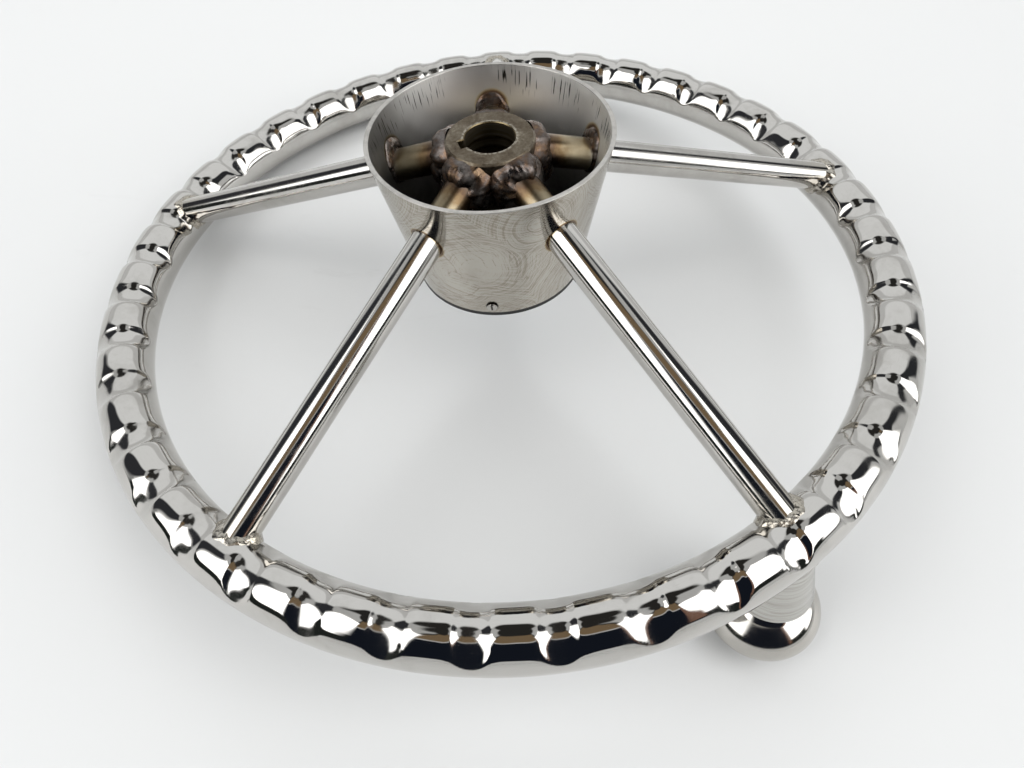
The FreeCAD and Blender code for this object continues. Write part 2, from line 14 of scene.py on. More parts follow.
import bmesh
import bpy
from mathutils import Matrix, Vector, noise

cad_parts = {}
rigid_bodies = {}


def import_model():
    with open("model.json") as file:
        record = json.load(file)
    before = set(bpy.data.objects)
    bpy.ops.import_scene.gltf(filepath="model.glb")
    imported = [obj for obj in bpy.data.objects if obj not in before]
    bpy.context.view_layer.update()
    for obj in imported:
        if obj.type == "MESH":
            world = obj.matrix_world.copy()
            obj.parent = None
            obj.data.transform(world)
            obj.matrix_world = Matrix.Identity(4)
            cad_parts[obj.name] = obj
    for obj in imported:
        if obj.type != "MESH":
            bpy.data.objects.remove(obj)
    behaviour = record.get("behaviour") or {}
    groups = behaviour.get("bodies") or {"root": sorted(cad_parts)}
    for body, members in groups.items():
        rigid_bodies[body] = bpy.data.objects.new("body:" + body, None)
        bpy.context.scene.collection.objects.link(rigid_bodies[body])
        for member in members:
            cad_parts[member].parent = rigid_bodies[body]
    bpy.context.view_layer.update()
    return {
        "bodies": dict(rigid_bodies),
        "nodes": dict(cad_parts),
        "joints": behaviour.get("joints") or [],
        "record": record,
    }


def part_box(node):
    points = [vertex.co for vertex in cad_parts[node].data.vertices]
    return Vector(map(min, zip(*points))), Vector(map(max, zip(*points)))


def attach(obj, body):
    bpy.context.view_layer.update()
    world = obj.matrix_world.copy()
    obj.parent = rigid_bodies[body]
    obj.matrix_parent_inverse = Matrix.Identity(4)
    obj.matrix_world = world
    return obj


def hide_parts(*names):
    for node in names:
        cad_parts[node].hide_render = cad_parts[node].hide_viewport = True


log = logging.getLogger("steering_wheel")

Socket = bpy.types.NodeSocket
Material = bpy.types.Material
Piece = bpy.types.Object
Given = bpy.types.NodeOutputs
Result = bpy.types.NodeInputs
Colour = tuple[float, float, float]
Point = tuple[float, float, float]
Outline = list[tuple[float, float]]

MM = 0.001
AT_AXIS = 0.05 * MM
ROUND_STEPS = 4
SHARP = math.radians(38.0)
WHEEL = "wheel"
KNOB = "knob"


class Slot(Enum):
    """The record's finishes, passed along with new pieces but not used."""

    POLISHED = "polished_steel"
    BRUSHED = "brushed_steel"
    TURNED = "turned_steel"
    BRIGHT_WELD = "bright_weld"
    TINTED_WELD = "tinted_weld"
    PLASTIC = "black_plastic"


class Kind(Enum):
    """What a shared group's socket carries."""

    VALUE = "NodeSocketFloat"
    VECTOR = "NodeSocketVector"
    COLOUR = "NodeSocketColor"


def polar(radius: float, turn: float, height: float) -> Vector:
    """A point from its distance from the upright axis, its azimuth and its height."""
    return Vector((radius * math.cos(turn), radius * math.sin(turn), height))


@dataclass(frozen=True)
class WheelSizes:
    """The sizes that several pieces share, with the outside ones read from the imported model."""

    ring_radius: float
    tube_radius: float
    rim_height: float
    boss_radius: float
    boss_bottom: float
    lip_radius: float
    lip_height: float
    cone_bottom_radius: float
    cone_bottom: float
    spoke_radius: float = 6.35 * MM
    spoke_drop: float = 10.3 * MM
    spoke_rise: float = 3.1 * MM
    spoke_count: int = 5
    first_spoke: float = math.radians(90.0)
    cone_wall: float = 1.8 * MM
    bore_radius: float = 9.525 * MM
    screw_rise: float = 4.6 * MM
    first_screw: float = math.radians(265.0)
    screw_count: int = 3

    @classmethod
    def from_frame(cls) -> "WheelSizes":
        """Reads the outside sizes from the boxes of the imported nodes.

        Returns:
            The wheel's shared sizes.
        """
        rim_low, rim_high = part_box("rim")
        boss_low, boss_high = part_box("hub_boss")
        cone_low, cone_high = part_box("hub_cone")
        cap_low, cap_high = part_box("centre_cap")
        tube = (rim_high.z - rim_low.z) / 2
        return cls(
            ring_radius=(rim_high.y - rim_low.y) / 2 - tube,
            tube_radius=tube,
            rim_height=(rim_high.z + rim_low.z) / 2,
            boss_radius=(boss_high.x - boss_low.x) / 2,
            boss_bottom=boss_low.z,
            lip_radius=(cone_high.x - cone_low.x) / 2,
            lip_height=cone_high.z,
            cone_bottom_radius=(cap_high.x - cap_low.x) / 2,
            cone_bottom=cone_low.z,
        )

    @property
    def slope(self) -> float:
        """The angle by which a spoke falls towards the rim."""
        fall = -self.rim_height - self.spoke_rise - self.spoke_drop
        return math.atan(fall / (self.ring_radius - self.boss_radius))

    def azimuths(self) -> list[float]:
        """The spokes' azimuths, in order."""
        return [self.first_spoke + math.tau * i / self.spoke_count for i in range(self.spoke_count)]

    def spoke_direction(self, azimuth: float) -> Vector:
        """The unit direction of a spoke's middle line, from the boss out and down to the rim."""
        return polar(math.cos(self.slope), azimuth, -math.sin(self.slope))

    def spoke_point(self, azimuth: float, distance: float) -> Vector:
        """The point on a spoke's middle line at a distance from the wheel's axis."""
        height = -self.spoke_drop - (distance - self.boss_radius) * math.tan(self.slope)
        return polar(distance, azimuth, height)

    def screw_seats(self) -> list[tuple[Vector, Vector]]:
        """Finds where each cap screw's head sits on the cone.

        Returns:
            The middle of each head's seat, and the way that the head faces.
        """
        height = self.cone_bottom + self.screw_rise
        flare = math.atan((self.lip_radius - self.cone_bottom_radius) / (self.lip_height - self.cone_bottom))
        seats: list[tuple[Vector, Vector]] = []
        for i in range(self.screw_count):
            flat = polar(1.0, self.first_screw + math.tau * i / self.screw_count, 0.0)
            seat = flat * self.cone_radius(height) + Vector((0.0, 0.0, height))
            seats.append((seat, flat * math.cos(flare) - Vector((0.0, 0.0, math.sin(flare)))))
        return seats

    def cone_radius(self, height: float) -> float:
        """The radius of the cone's outer wall at a height."""
        share = (height - self.cone_bottom) / (self.lip_height - self.cone_bottom)
        return self.cone_bottom_radius + share * (self.lip_radius - self.cone_bottom_radius)


def link(name: str, data: bpy.types.ID) -> Piece:
    """Puts a mesh, a light or a camera into the scene.

    Args:
        name: The object's name.
        data: What the object shows.

    Returns:
        The new object.
    """
    item = bpy.data.objects.new(name, data)
    bpy.context.scene.collection.objects.link(item)
    return item


def finished(item: Piece, body: str, node: str, slot: Slot, *materials: Material) -> Piece:
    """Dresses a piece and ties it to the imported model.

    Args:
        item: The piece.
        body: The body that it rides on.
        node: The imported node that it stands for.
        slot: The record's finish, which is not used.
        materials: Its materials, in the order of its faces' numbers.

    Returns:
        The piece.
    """
    for material in materials:
        item.data.materials.append(material)
    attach(item, body)
    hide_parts(node)
    return item


@dataclass(frozen=True)
class Grid:
    """A net of points whose rows are joined into quads."""

    rows: Sequence[Sequence[Vector]]
    closed_rows: bool = False
    closed_columns: bool = False
    slots: Optional[Sequence[int]] = None

    def build(self, name: str, crease: float = SHARP) -> Piece:
        """Makes the mesh, with a UV map in metres along and across the net.

        Args:
            name: The object's name.
            crease: The angle above which an edge is drawn sharp.

        Returns:
            The new object, linked to the scene.
        """
        count, width = len(self.rows), len(self.rows[0])
        lengths_u = self._run([row[0] for row in self.rows], self.closed_rows)
        lengths_v = self._run(self.rows[0], self.closed_columns)
        faces: list[tuple[int, int, int, int]] = []
        uvs: list[float] = []
        slots: list[int] = []
        for i in range(count if self.closed_rows else count - 1):
            for j in range(width if self.closed_columns else width - 1):
                right, below = (j + 1) % width, (i + 1) % count
                faces.append((i * width + j, below * width + j, below * width + right, i * width + right))
                for row, column in ((i, j), (i + 1, j), (i + 1, j + 1), (i, j + 1)):
                    uvs += [lengths_u[row], lengths_v[column]]
                slots.append(self.slots[j] if self.slots else 0)
        mesh = bpy.data.meshes.new(name)
        mesh.from_pydata([point for row in self.rows for point in row], [], faces)
        mesh.uv_layers.new(name="UVMap").data.foreach_set("uv", uvs)
        mesh.polygons.foreach_set("material_index", slots)
        mesh.polygons.foreach_set("use_smooth", [True] * len(faces))
        mesh.set_sharp_from_angle(angle=crease)
        mesh.update()
        return link(name, mesh)

    @staticmethod
    def _run(points: Sequence[Vector], closed: bool) -> list[float]:
        """Measures along a line of points.

        Args:
            points: The points.
            closed: Whether the line returns to its start.

        Returns:
            One running length per point, and one more for a closed line.
        """
        lengths = [0.0]
        for start, end in zip(points, list(points[1:]) + ([points[0]] if closed else [])):
            lengths.append(lengths[-1] + (end - start).length)
        return lengths


def lathe(name: str, profile: Outline, centre: Vector, segments: int,
          slots: Optional[Sequence[int]] = None) -> Piece:
    """Turns a closed profile round an upright axis.

    Args:
        name: The object's name.
        profile: Radius and height of each point, in order round the section.
        centre: A point on the axis, to which the heights are added.
        segments: How many columns go round.
        slots: A material index for each side of the profile.

    Returns:
        The new object.
    """
    rows = []
    for column in range(segments):
        turn = math.tau * column / segments
        rows.append([centre + polar(radius, turn, height) for radius, height in profile])
    return Grid(rows, closed_rows=True, closed_columns=True, slots=slots).build(name)


def rounded(profile: Outline, radii: dict[int, float]) -> Outline:
    """Rounds chosen corners of a closed profile.

    Args:
        profile: The corner points.
        radii: The length cut from both sides of a corner, by the corner's number.

    Returns:
        The profile with the rounds.
    """
    out: Outline = []
    for number, corner in enumerate(profile):
        if number not in radii:
            out.append(corner)
            continue
        after = profile[(number + 1) % len(profile)]
        before, here, after = (Vector((*point, 0.0)) for point in (profile[number - 1], corner, after))
        start = here + (before - here).normalized() * radii[number]
        end = here + (after - here).normalized() * radii[number]
        for step in range(ROUND_STEPS + 1):
            share = step / ROUND_STEPS
            point = start.lerp(here, share).lerp(here.lerp(end, share), share)
            out.append((point.x, point.y))
    return out


def wobble(point: Vector, size: float, seed: float = 0.0) -> float:
    """Smooth noise between about -1 and 1, in lumps of a size, with a pattern for each seed."""
    return noise.noise(point / size + Vector((seed, seed * 1.7, -seed)))


class Wiring:
    """Adds nodes to one node tree and joins them."""

    def __init__(self, tree: bpy.types.NodeTree) -> None:
        """Starts on a tree."""
        self.tree = tree

    def node(self, kind: str, settings: Optional[dict] = None, **inputs: object) -> bpy.types.Node:
        """Adds one node.

        Args:
            kind: The node's type.
            settings: Properties of the node itself.
            inputs: Values or sockets for its inputs, named with _ for a space.

        Returns:
            The new node.
        """
        item = self.tree.nodes.new(kind)
        for key, value in (settings or {}).items():
            setattr(item, key, value)
        for key, value in inputs.items():
            self.feed(item.inputs[key.replace("_", " ")], value)
        return item

    def ordered(self, kind: str, settings: dict, values: Sequence[object]) -> bpy.types.Node:
        """Adds one node whose inputs are given in order.

        Args:
            kind: The node's type.
            settings: Properties of the node itself.
            values: Values or sockets for its first inputs.

        Returns:
            The new node.
        """
        item = self.node(kind, settings)
        for socket, value in zip(item.inputs, values):
            self.feed(socket, value)
        return item

    def feed(self, socket: Socket, value: object) -> None:
        """Joins a socket to another one, or sets its value.

        Args:
            socket: The input.
            value: An output socket, a number, or a colour or vector.
        """
        if isinstance(value, Socket):
            self.tree.links.new(value, socket)
        elif isinstance(value, tuple) and socket.type == "RGBA":
            socket.default_value = (*value, 1.0)[:4]
        else:
            socket.default_value = value

    def maths(self, operation: str, *values: object) -> Socket:
        """Adds a Math node and gives its output."""
        return self.ordered("ShaderNodeMath", {"operation": operation}, values).outputs[0]

    def times(self, first: object, second: object) -> Socket:
        """Multiplies two values."""
        return self.maths("MULTIPLY", first, second)

    def plus(self, first: object, second: object) -> Socket:
        """Adds two values."""
        return self.maths("ADD", first, second)

    def minus(self, first: object, second: object) -> Socket:
        """Takes the second value from the first."""
        return self.maths("SUBTRACT", first, second)

    def weighed(self, first: object, first_share: float, second: object, second_share: float) -> Socket:
        """Adds two values, each times its own share."""
        return self.plus(self.times(first, first_share), self.times(second, second_share))

    def highest(self, values: Sequence[Socket]) -> Socket:
        """The highest of several values."""
        return reduce(lambda first, second: self.maths("MAXIMUM", first, second), values)

    def off(self, value: object, middle: float) -> Socket:
        """How far a value is from a middle, either way."""
        return self.maths("ABSOLUTE", self.minus(value, middle))

    def vector(self, operation: str, *values: object) -> Socket:
        """Adds a Vector Math node.

        Args:
            operation: What it does.
            values: Its inputs, in order.

        Returns:
            Its vector output, or its value for a length, distance or dot product.
        """
        item = self.ordered("ShaderNodeVectorMath", {"operation": operation}, values)
        return item.outputs["Value" if operation in ("LENGTH", "DISTANCE", "DOT_PRODUCT") else "Vector"]

    def stretched(self, where: object, scale: object) -> Socket:
        """Scales coordinates by a different amount each way."""
        return self.vector("MULTIPLY", where, scale)

    def parts(self, where: object) -> bpy.types.NodeOutputs:
        """Splits coordinates into X, Y and Z."""
        return self.node("ShaderNodeSeparateXYZ", Vector=where).outputs

    def mix(self, factor: object, first: object, second: object, blend: str = "MIX") -> Socket:
        """Mixes two colours.

        Args:
            factor: How much of the second.
            first: The first colour.
            second: The second colour.
            blend: The way that they mix.

        Returns:
            The mixed colour.
        """
        item = self.node("ShaderNodeMix", {"data_type": "RGBA", "blend_type": blend})
        for number, value in ((0, factor), (6, first), (7, second)):
            self.feed(item.inputs[number], value)
        return item.outputs[2]

    def span(self, value: object, low: float, high: float, to_low: float = 0.0,
             to_high: float = 1.0) -> Socket:
        """Maps a value's range to another with eased ends, and holds it there.

        Args:
            value: The value.
            low: Where the new range starts.
            high: Where it ends.
            to_low: The result at the start.
            to_high: The result at the end.

        Returns:
            The result.
        """
        values = (value, low, high, to_low, to_high)
        return self.ordered("ShaderNodeMapRange", {"interpolation_type": "SMOOTHSTEP"}, values).outputs[0]

    def ramp(self, value: object, stops: Sequence[tuple[float, Colour]]) -> Socket:
        """Colours a value.

        Args:
            value: A value from 0 to 1.
            stops: Places and their colours.

        Returns:
            The colour.
        """
        item = self.ordered("ShaderNodeValToRGB", {}, (value,))
        elements = item.color_ramp.elements
        while len(elements) < len(stops):
            elements.new(1.0)
        for element, (place, colour) in zip(elements, stops):
            element.position = place
            element.color = (*colour, 1.0)
        return item.outputs[0]

    def clouds(self, where: object, scale: float, detail: float = 3.0, rough: float = 0.5,
               distortion: float = 0.0) -> Socket:
        """Adds a noise texture.

        Args:
            where: The coordinates.
            scale: Lumps per unit.
            detail: How many finer layers it has.
            rough: How strong those are.
            distortion: How far it is swirled.

        Returns:
            Its value.
        """
        return self.node("ShaderNodeTexNoise", Vector=where, Scale=scale, Detail=detail, Roughness=rough,
                         Distortion=distortion).outputs[0]


class Surface(Wiring):
    """The wiring of one material, with its shader and its coordinates."""

    def __init__(self, name: str, metallic: float = 1.0) -> None:
        """Makes an empty material.

        Args:
            name: Its name.
            metallic: How metallic all of it is.
        """
        self.material = bpy.data.materials.new(name)
        self.material.use_nodes = True
        super().__init__(self.material.node_tree)
        self.shader = self.tree.nodes["Principled BSDF"]
        self.shader.inputs["Metallic"].default_value = metallic
        coordinates = self.node("ShaderNodeTexCoord").outputs
        self.where = coordinates["Object"]
        self.lie = coordinates["UV"]

    def from_axis(self, where: Socket) -> Socket:
        """The distance of a place from the upright axis through its origin."""
        return self.vector("LENGTH", self.stretched(where, (1.0, 1.0, 0.0)))

    def from_line(self, start: Vector, along: Vector) -> tuple[Socket, Socket]:
        """Measures from a line and along it.

        Args:
            start: The point where the line starts.
            along: Its unit direction.

        Returns:
            The distance from the line, and the distance along it.
        """
        offset = self.vector("SUBTRACT", self.where, tuple(start))
        run = self.vector("DOT_PRODUCT", offset, tuple(along))
        on_line = self.vector("SCALE", tuple(along))
        self.feed(on_line.node.inputs["Scale"], run)
        return self.vector("DISTANCE", offset, on_line), run

    def done(self, colour: object, rough: object, height: Socket, strength: float, depth: float) -> Material:
        """Joins the patterns to the shader.

        Args:
            colour: The base colour.
            rough: The roughness.
            height: The height that the surface is raised by.
            strength: How strong that is.
            depth: How many metres the height stands for.

        Returns:
            The material.
        """
        bump = self.node("ShaderNodeBump", Strength=strength, Distance=depth, Height=height)
        joined = {"Base Color": colour, "Roughness": rough, "Normal": bump.outputs["Normal"]}
        for name, value in joined.items():
            self.feed(self.shader.inputs[name], value)
        return self.material


@dataclass(frozen=True)
class SharedGroup:
    """A shader node group that several finishes use."""

    name: str
    inputs: tuple[tuple[str, Kind, object], ...]
    outputs: tuple[tuple[str, Kind], ...]
    wire: Callable[[Wiring, Given, Result], None]

    def tree(self) -> bpy.types.NodeTree:
        """Builds the group once.

        Returns:
            Its node tree.
        """
        found = bpy.data.node_groups.get(self.name)
        if found:
            return found
        tree = bpy.data.node_groups.new(self.name, "ShaderNodeTree")
        for name, kind, value in self.inputs:
            socket = tree.interface.new_socket(name=name, in_out="INPUT", socket_type=kind.value)
            if value is not None:
                socket.default_value = value
        for name, kind in self.outputs:
            tree.interface.new_socket(name=name, in_out="OUTPUT", socket_type=kind.value)
        wiring = Wiring(tree)
        self.wire(wiring, wiring.node("NodeGroupInput").outputs, wiring.node("NodeGroupOutput").inputs)
        return tree

    def place(self, surface: Surface, **values: object) -> Given:
        """Puts the group into a material, on the object's coordinates unless others are given."""
        values.setdefault("Where", surface.where)
        return surface.node("ShaderNodeGroup", {"node_tree": self.tree()}, **values).outputs


def wire_smudges(w: Wiring, given: Given, result: Result) -> None:
    """Handled patches and faint water marks that dull a polish.

    Args:
        w: The group's wiring.
        given: What comes in.
        result: What goes out.
    """
    broad = w.clouds(given["Where"], 26.0, 4.0, 0.6, 0.6)
    fine = w.clouds(given["Where"], 190.0, 3.0, 0.6)
    patch = w.span(w.weighed(broad, 0.75, fine, 0.25), 0.46, 0.68)
    wear = w.minus(given["Dull"], given["Clean"])
    w.feed(result["Patch"], patch)
    w.feed(result["Roughness"], w.plus(given["Clean"], w.times(patch, wear)))


def wire_grain(w: Wiring, given: Given, result: Result) -> None:
    """Brushing or turning lines: noise drawn out along one way of the surface.

    Args:
        w: The group's wiring.
        given: What comes in.
        result: What goes out.
    """
    drawn = w.stretched(given["Where"], given["Stretch"])
    coarse = w.clouds(drawn, 1.0, 3.0, 0.65)
    fine = w.clouds(w.stretched(drawn, (1.7, 3.1, 2.3)), 1.0, 2.0, 0.6)
    height = w.weighed(coarse, 0.6, fine, 0.4)
    w.feed(result["Height"], height)
    w.feed(result["Lines"], w.span(height, 0.54, 0.68))


def wire_swirls(w: Wiring, given: Given, result: Result) -> None:
    """Curved sanding marks: rings round scattered centres, broken up by noise.

    Args:
        w: The group's wiring.
        given: What comes in.
        result: What goes out.
    """
    where = given["Where"]
    drift = w.node("ShaderNodeTexNoise", Vector=where, Scale=30.0, Detail=2.0).outputs["Color"]
    drift = w.stretched(w.vector("SUBTRACT", drift, (0.5, 0.5, 0.5)), (0.010, 0.010, 0.010))
    moved = w.vector("ADD", where, drift)
    marks: list[Socket] = []
    for scale, rings, shift in ((15.0, 6400.0, 0.0), (21.0, 7600.0, 0.37)):
        shifted = w.vector("ADD", moved, (shift, shift, shift))
        cells = w.node("ShaderNodeTexVoronoi", Vector=shifted, Scale=scale)
        centre = w.vector("DISTANCE", shifted, cells.outputs["Position"])
        ring = w.node("ShaderNodeCombineXYZ", X=w.times(centre, rings),
                      Y=w.times(w.clouds(where, 60.0, 2.0), 9.0), Z=shift)
        mark = w.clouds(ring.outputs[0], 0.42, 3.0, 0.7)
        marks.append(w.times(mark, w.span(centre, 8 * MM, 15 * MM, 0.77, 1.0)))
    height = w.times(w.plus(*marks), 0.5)
    w.feed(result["Height"], height)
    w.feed(result["Lines"], w.span(height, 0.475, 0.56))


def wire_heat(w: Wiring, given: Given, result: Result) -> None:
    """Weld heat tint: straw, brown, purple and grey as the heat rises, over a steel colour.

    Args:
        w: The group's wiring.
        given: What comes in.
        result: What goes out.
    """
    uneven = w.minus(w.clouds(given["Where"], 340.0, 4.0, 0.65), 0.5)
    heat = w.plus(given["Heat"], w.times(uneven, w.times(given["Heat"], 0.9)))
    tint = w.ramp(heat, (
        (0.0, (1.0, 1.0, 1.0)),
        (0.20, (0.88, 0.79, 0.60)),
        (0.40, (0.52, 0.38, 0.23)),
        (0.58, (0.27, 0.18, 0.125)),
        (0.76, (0.25, 0.215, 0.20)),
        (1.0, (0.40, 0.385, 0.38)),
    ))
    w.feed(result["Colour"], w.mix(1.0, given["Steel"], tint, "MULTIPLY"))
    w.feed(result["Heat"], heat)


WHERE = ("Where", Kind.VECTOR, None)
SMUDGES = SharedGroup(
    "handled_patches",
    (WHERE, ("Clean", Kind.VALUE, 0.05), ("Dull", Kind.VALUE, 0.2)),
    (("Patch", Kind.VALUE), ("Roughness", Kind.VALUE)),
    wire_smudges,
)
GRAIN = SharedGroup(
    "drawn_grain",
    (WHERE, ("Stretch", Kind.VECTOR, (100.0, 4000.0, 100.0))),
    (("Height", Kind.VALUE), ("Lines", Kind.VALUE)),
    wire_grain,
)
SWIRLS = SharedGroup("sanding_swirls", (WHERE,), (("Height", Kind.VALUE), ("Lines", Kind.VALUE)), wire_swirls)
HEAT = SharedGroup(
    "weld_heat_tint",
    (WHERE, ("Heat", Kind.VALUE, 0.0), ("Steel", Kind.COLOUR, (0.6, 0.6, 0.6, 1.0))),
    (("Colour", Kind.COLOUR), ("Heat", Kind.VALUE)),
    wire_heat,
)


@dataclass(frozen=True)
class Finish:
    """What every finish has: a name and a base colour."""

    name: str
    colour: Colour

    def darker(self, share: float) -> Colour:
        """The base colour, taken down to a share of itself."""
        return tuple(part * share for part in self.colour)


@dataclass(frozen=True)
class MirrorSteel(Finish):
    """Hand-polished steel: a mirror with faint waves, patches and drawn scratches."""

    clean: float = 0.035
    dull: float = 0.13
    wave: float = 0.00012
    joint_heat: bool = False
    grips: int = 0
    cone_reach: float = 24.5 * MM
    wall_line: float = 24.6 * MM
    drawn: Point = (160.0, 5200.0, 1.0)
    scratched: Colour = (0.40, 0.37, 0.34)
    handled: Colour = (0.38, 0.365, 0.335)
    dark_tone: Colour = (0.19, 0.17, 0.13)

    def material(self, sizes: WheelSizes) -> Material:
        """Makes the material.

        Args:
            sizes: The wheel's sizes, which place the heat tint and the duller grips.

        Returns:
            The material.
        """
        w = Surface(self.name)
        patches = SMUDGES.place(w, Clean=self.clean, Dull=self.dull)
        grain = GRAIN.place(w, Where=w.lie, Stretch=self.drawn)
        steel = w.mix(w.times(grain["Lines"], 0.32), self.colour, self.scratched)
        steel = w.mix(w.times(patches["Patch"], 0.5), steel, self.handled)
        rough = w.plus(patches["Roughness"], w.times(grain["Lines"], 0.05))
        if self.joint_heat:
            steel = self._tinted(w, steel, sizes)
            rough = w.plus(rough, w.span(w.from_axis(w.where), sizes.boss_radius + 22 * MM,
                                         sizes.boss_radius + self.cone_reach, 0.2, 0.0))
        if self.grips:
            parts = w.parts(w.where)
            turn = w.minus(w.maths("ARCTAN2", parts["Y"], parts["X"]), sizes.first_spoke)
            hollow = w.span(w.maths("COSINE", w.times(turn, self.grips)), -0.75, 0.0, 1.0, 0.0)
            upper = w.span(parts["Z"], sizes.rim_height - 2 * MM, sizes.rim_height + 3 * MM)
            rough = w.plus(rough, w.times(w.times(hollow, upper), 0.07))
        height = w.weighed(w.clouds(w.where, 95.0, 1.0, 0.4), self.wave / MM, grain["Height"], 0.0024)
        return w.done(steel, rough, height, 1.0, MM)

    def _tinted(self, w: Surface, steel: Socket, sizes: WheelSizes) -> Socket:
        """Adds straw and brown where a spoke was welded to the boss and where it passes the cone, and darkens
        the spokes inside the cone.

        Args:
            w: The material's surface.
            steel: The steel's colour.
            sizes: The wheel's sizes.

        Returns:
            The tinted colour.
        """
        radius = w.from_axis(w.where)
        near_boss = w.span(radius, sizes.boss_radius + 4 * MM, sizes.boss_radius + 15 * MM, 0.66, 0.22)
        inside = w.span(radius, sizes.boss_radius + 20 * MM, sizes.boss_radius + self.cone_reach, 1.0, 0.0)
        line = w.span(w.off(radius, sizes.boss_radius + self.wall_line), 0.2 * MM, 2.0 * MM, 0.62, 0.0)
        rim = w.span(radius, sizes.ring_radius - 24 * MM, sizes.ring_radius - 9 * MM, 0.0, 0.05)
        heat = w.highest((w.times(near_boss, inside), line, rim))
        # Darker towards the middle, inside the cone.
        darker_inside = w.mix(w.times(inside, 0.56), steel, self.dark_tone)
        return HEAT.place(w, Heat=heat, Steel=darker_inside)["Colour"]


@dataclass(frozen=True)
class SwirlSteel(Finish):
    """The cone's outside: sanded in curved strokes, then buffed until it mirrors the spokes."""

    rough: float = 0.10
    stained: Colour = (0.36, 0.325, 0.265)
    sanded: Colour = (0.27, 0.225, 0.17)
    # Near-black tone for the painted contact shadow and soiling round the screws.
    grime_and_shadow_colour: Colour = (0.03, 0.025, 0.02)

    def material(self, sizes: WheelSizes) -> Material:
        """Makes the material.

        Args:
            sizes: The wheel's sizes, which place the spoke stains and the painted contact shadow and soiling
                round the screws.

        Returns:
            The material.
        """
        w = Surface(self.name)
        swirl = SWIRLS.place(w)
        patches = SMUDGES.place(w, Clean=self.rough, Dull=self.rough + 0.12)
        steel = w.mix(w.times(patches["Patch"], 0.4), self.colour, self.stained)
        steel = w.mix(w.times(swirl["Lines"], 0.7), steel, self.sanded)
        steel = HEAT.place(w, Heat=self._stains(w, sizes), Steel=steel)["Colour"]
        # Painted contact shadow and soiling: a near-black ring on the cone round each screw head.
        apart = [w.from_line(seat, out)[0] for seat, out in sizes.screw_seats()]
        grime_and_contact_shadow = w.highest([w.span(distance, 2.2 * MM, 2.8 * MM, 0.85, 0.0) for distance in apart])
        rough = w.plus(patches["Roughness"], w.times(swirl["Lines"], 0.10))
        return w.done(w.mix(grime_and_contact_shadow, steel, self.grime_and_shadow_colour), rough, swirl["Height"], 1.0, 0.004 * MM)

    @staticmethod
    def _stains(w: Surface, sizes: WheelSizes) -> Socket:
        """The heat round each spoke where it leaves the cone.

        Args:
            w: The material's surface.
            sizes: The wheel's sizes.

        Returns:
            The heat from 0 to 1.
        """
        heats: list[Socket] = []
        for azimuth in sizes.azimuths():
            apart, run = w.from_line(sizes.spoke_point(azimuth, 0.0), sizes.spoke_direction(azimuth))
            ring = w.span(apart, sizes.spoke_radius + 0.2 * MM, sizes.spoke_radius + 1.4 * MM, 0.62, 0.0)
            heats.append(w.times(ring, w.span(run, 0.0, 10 * MM)))
        return w.highest(heats)


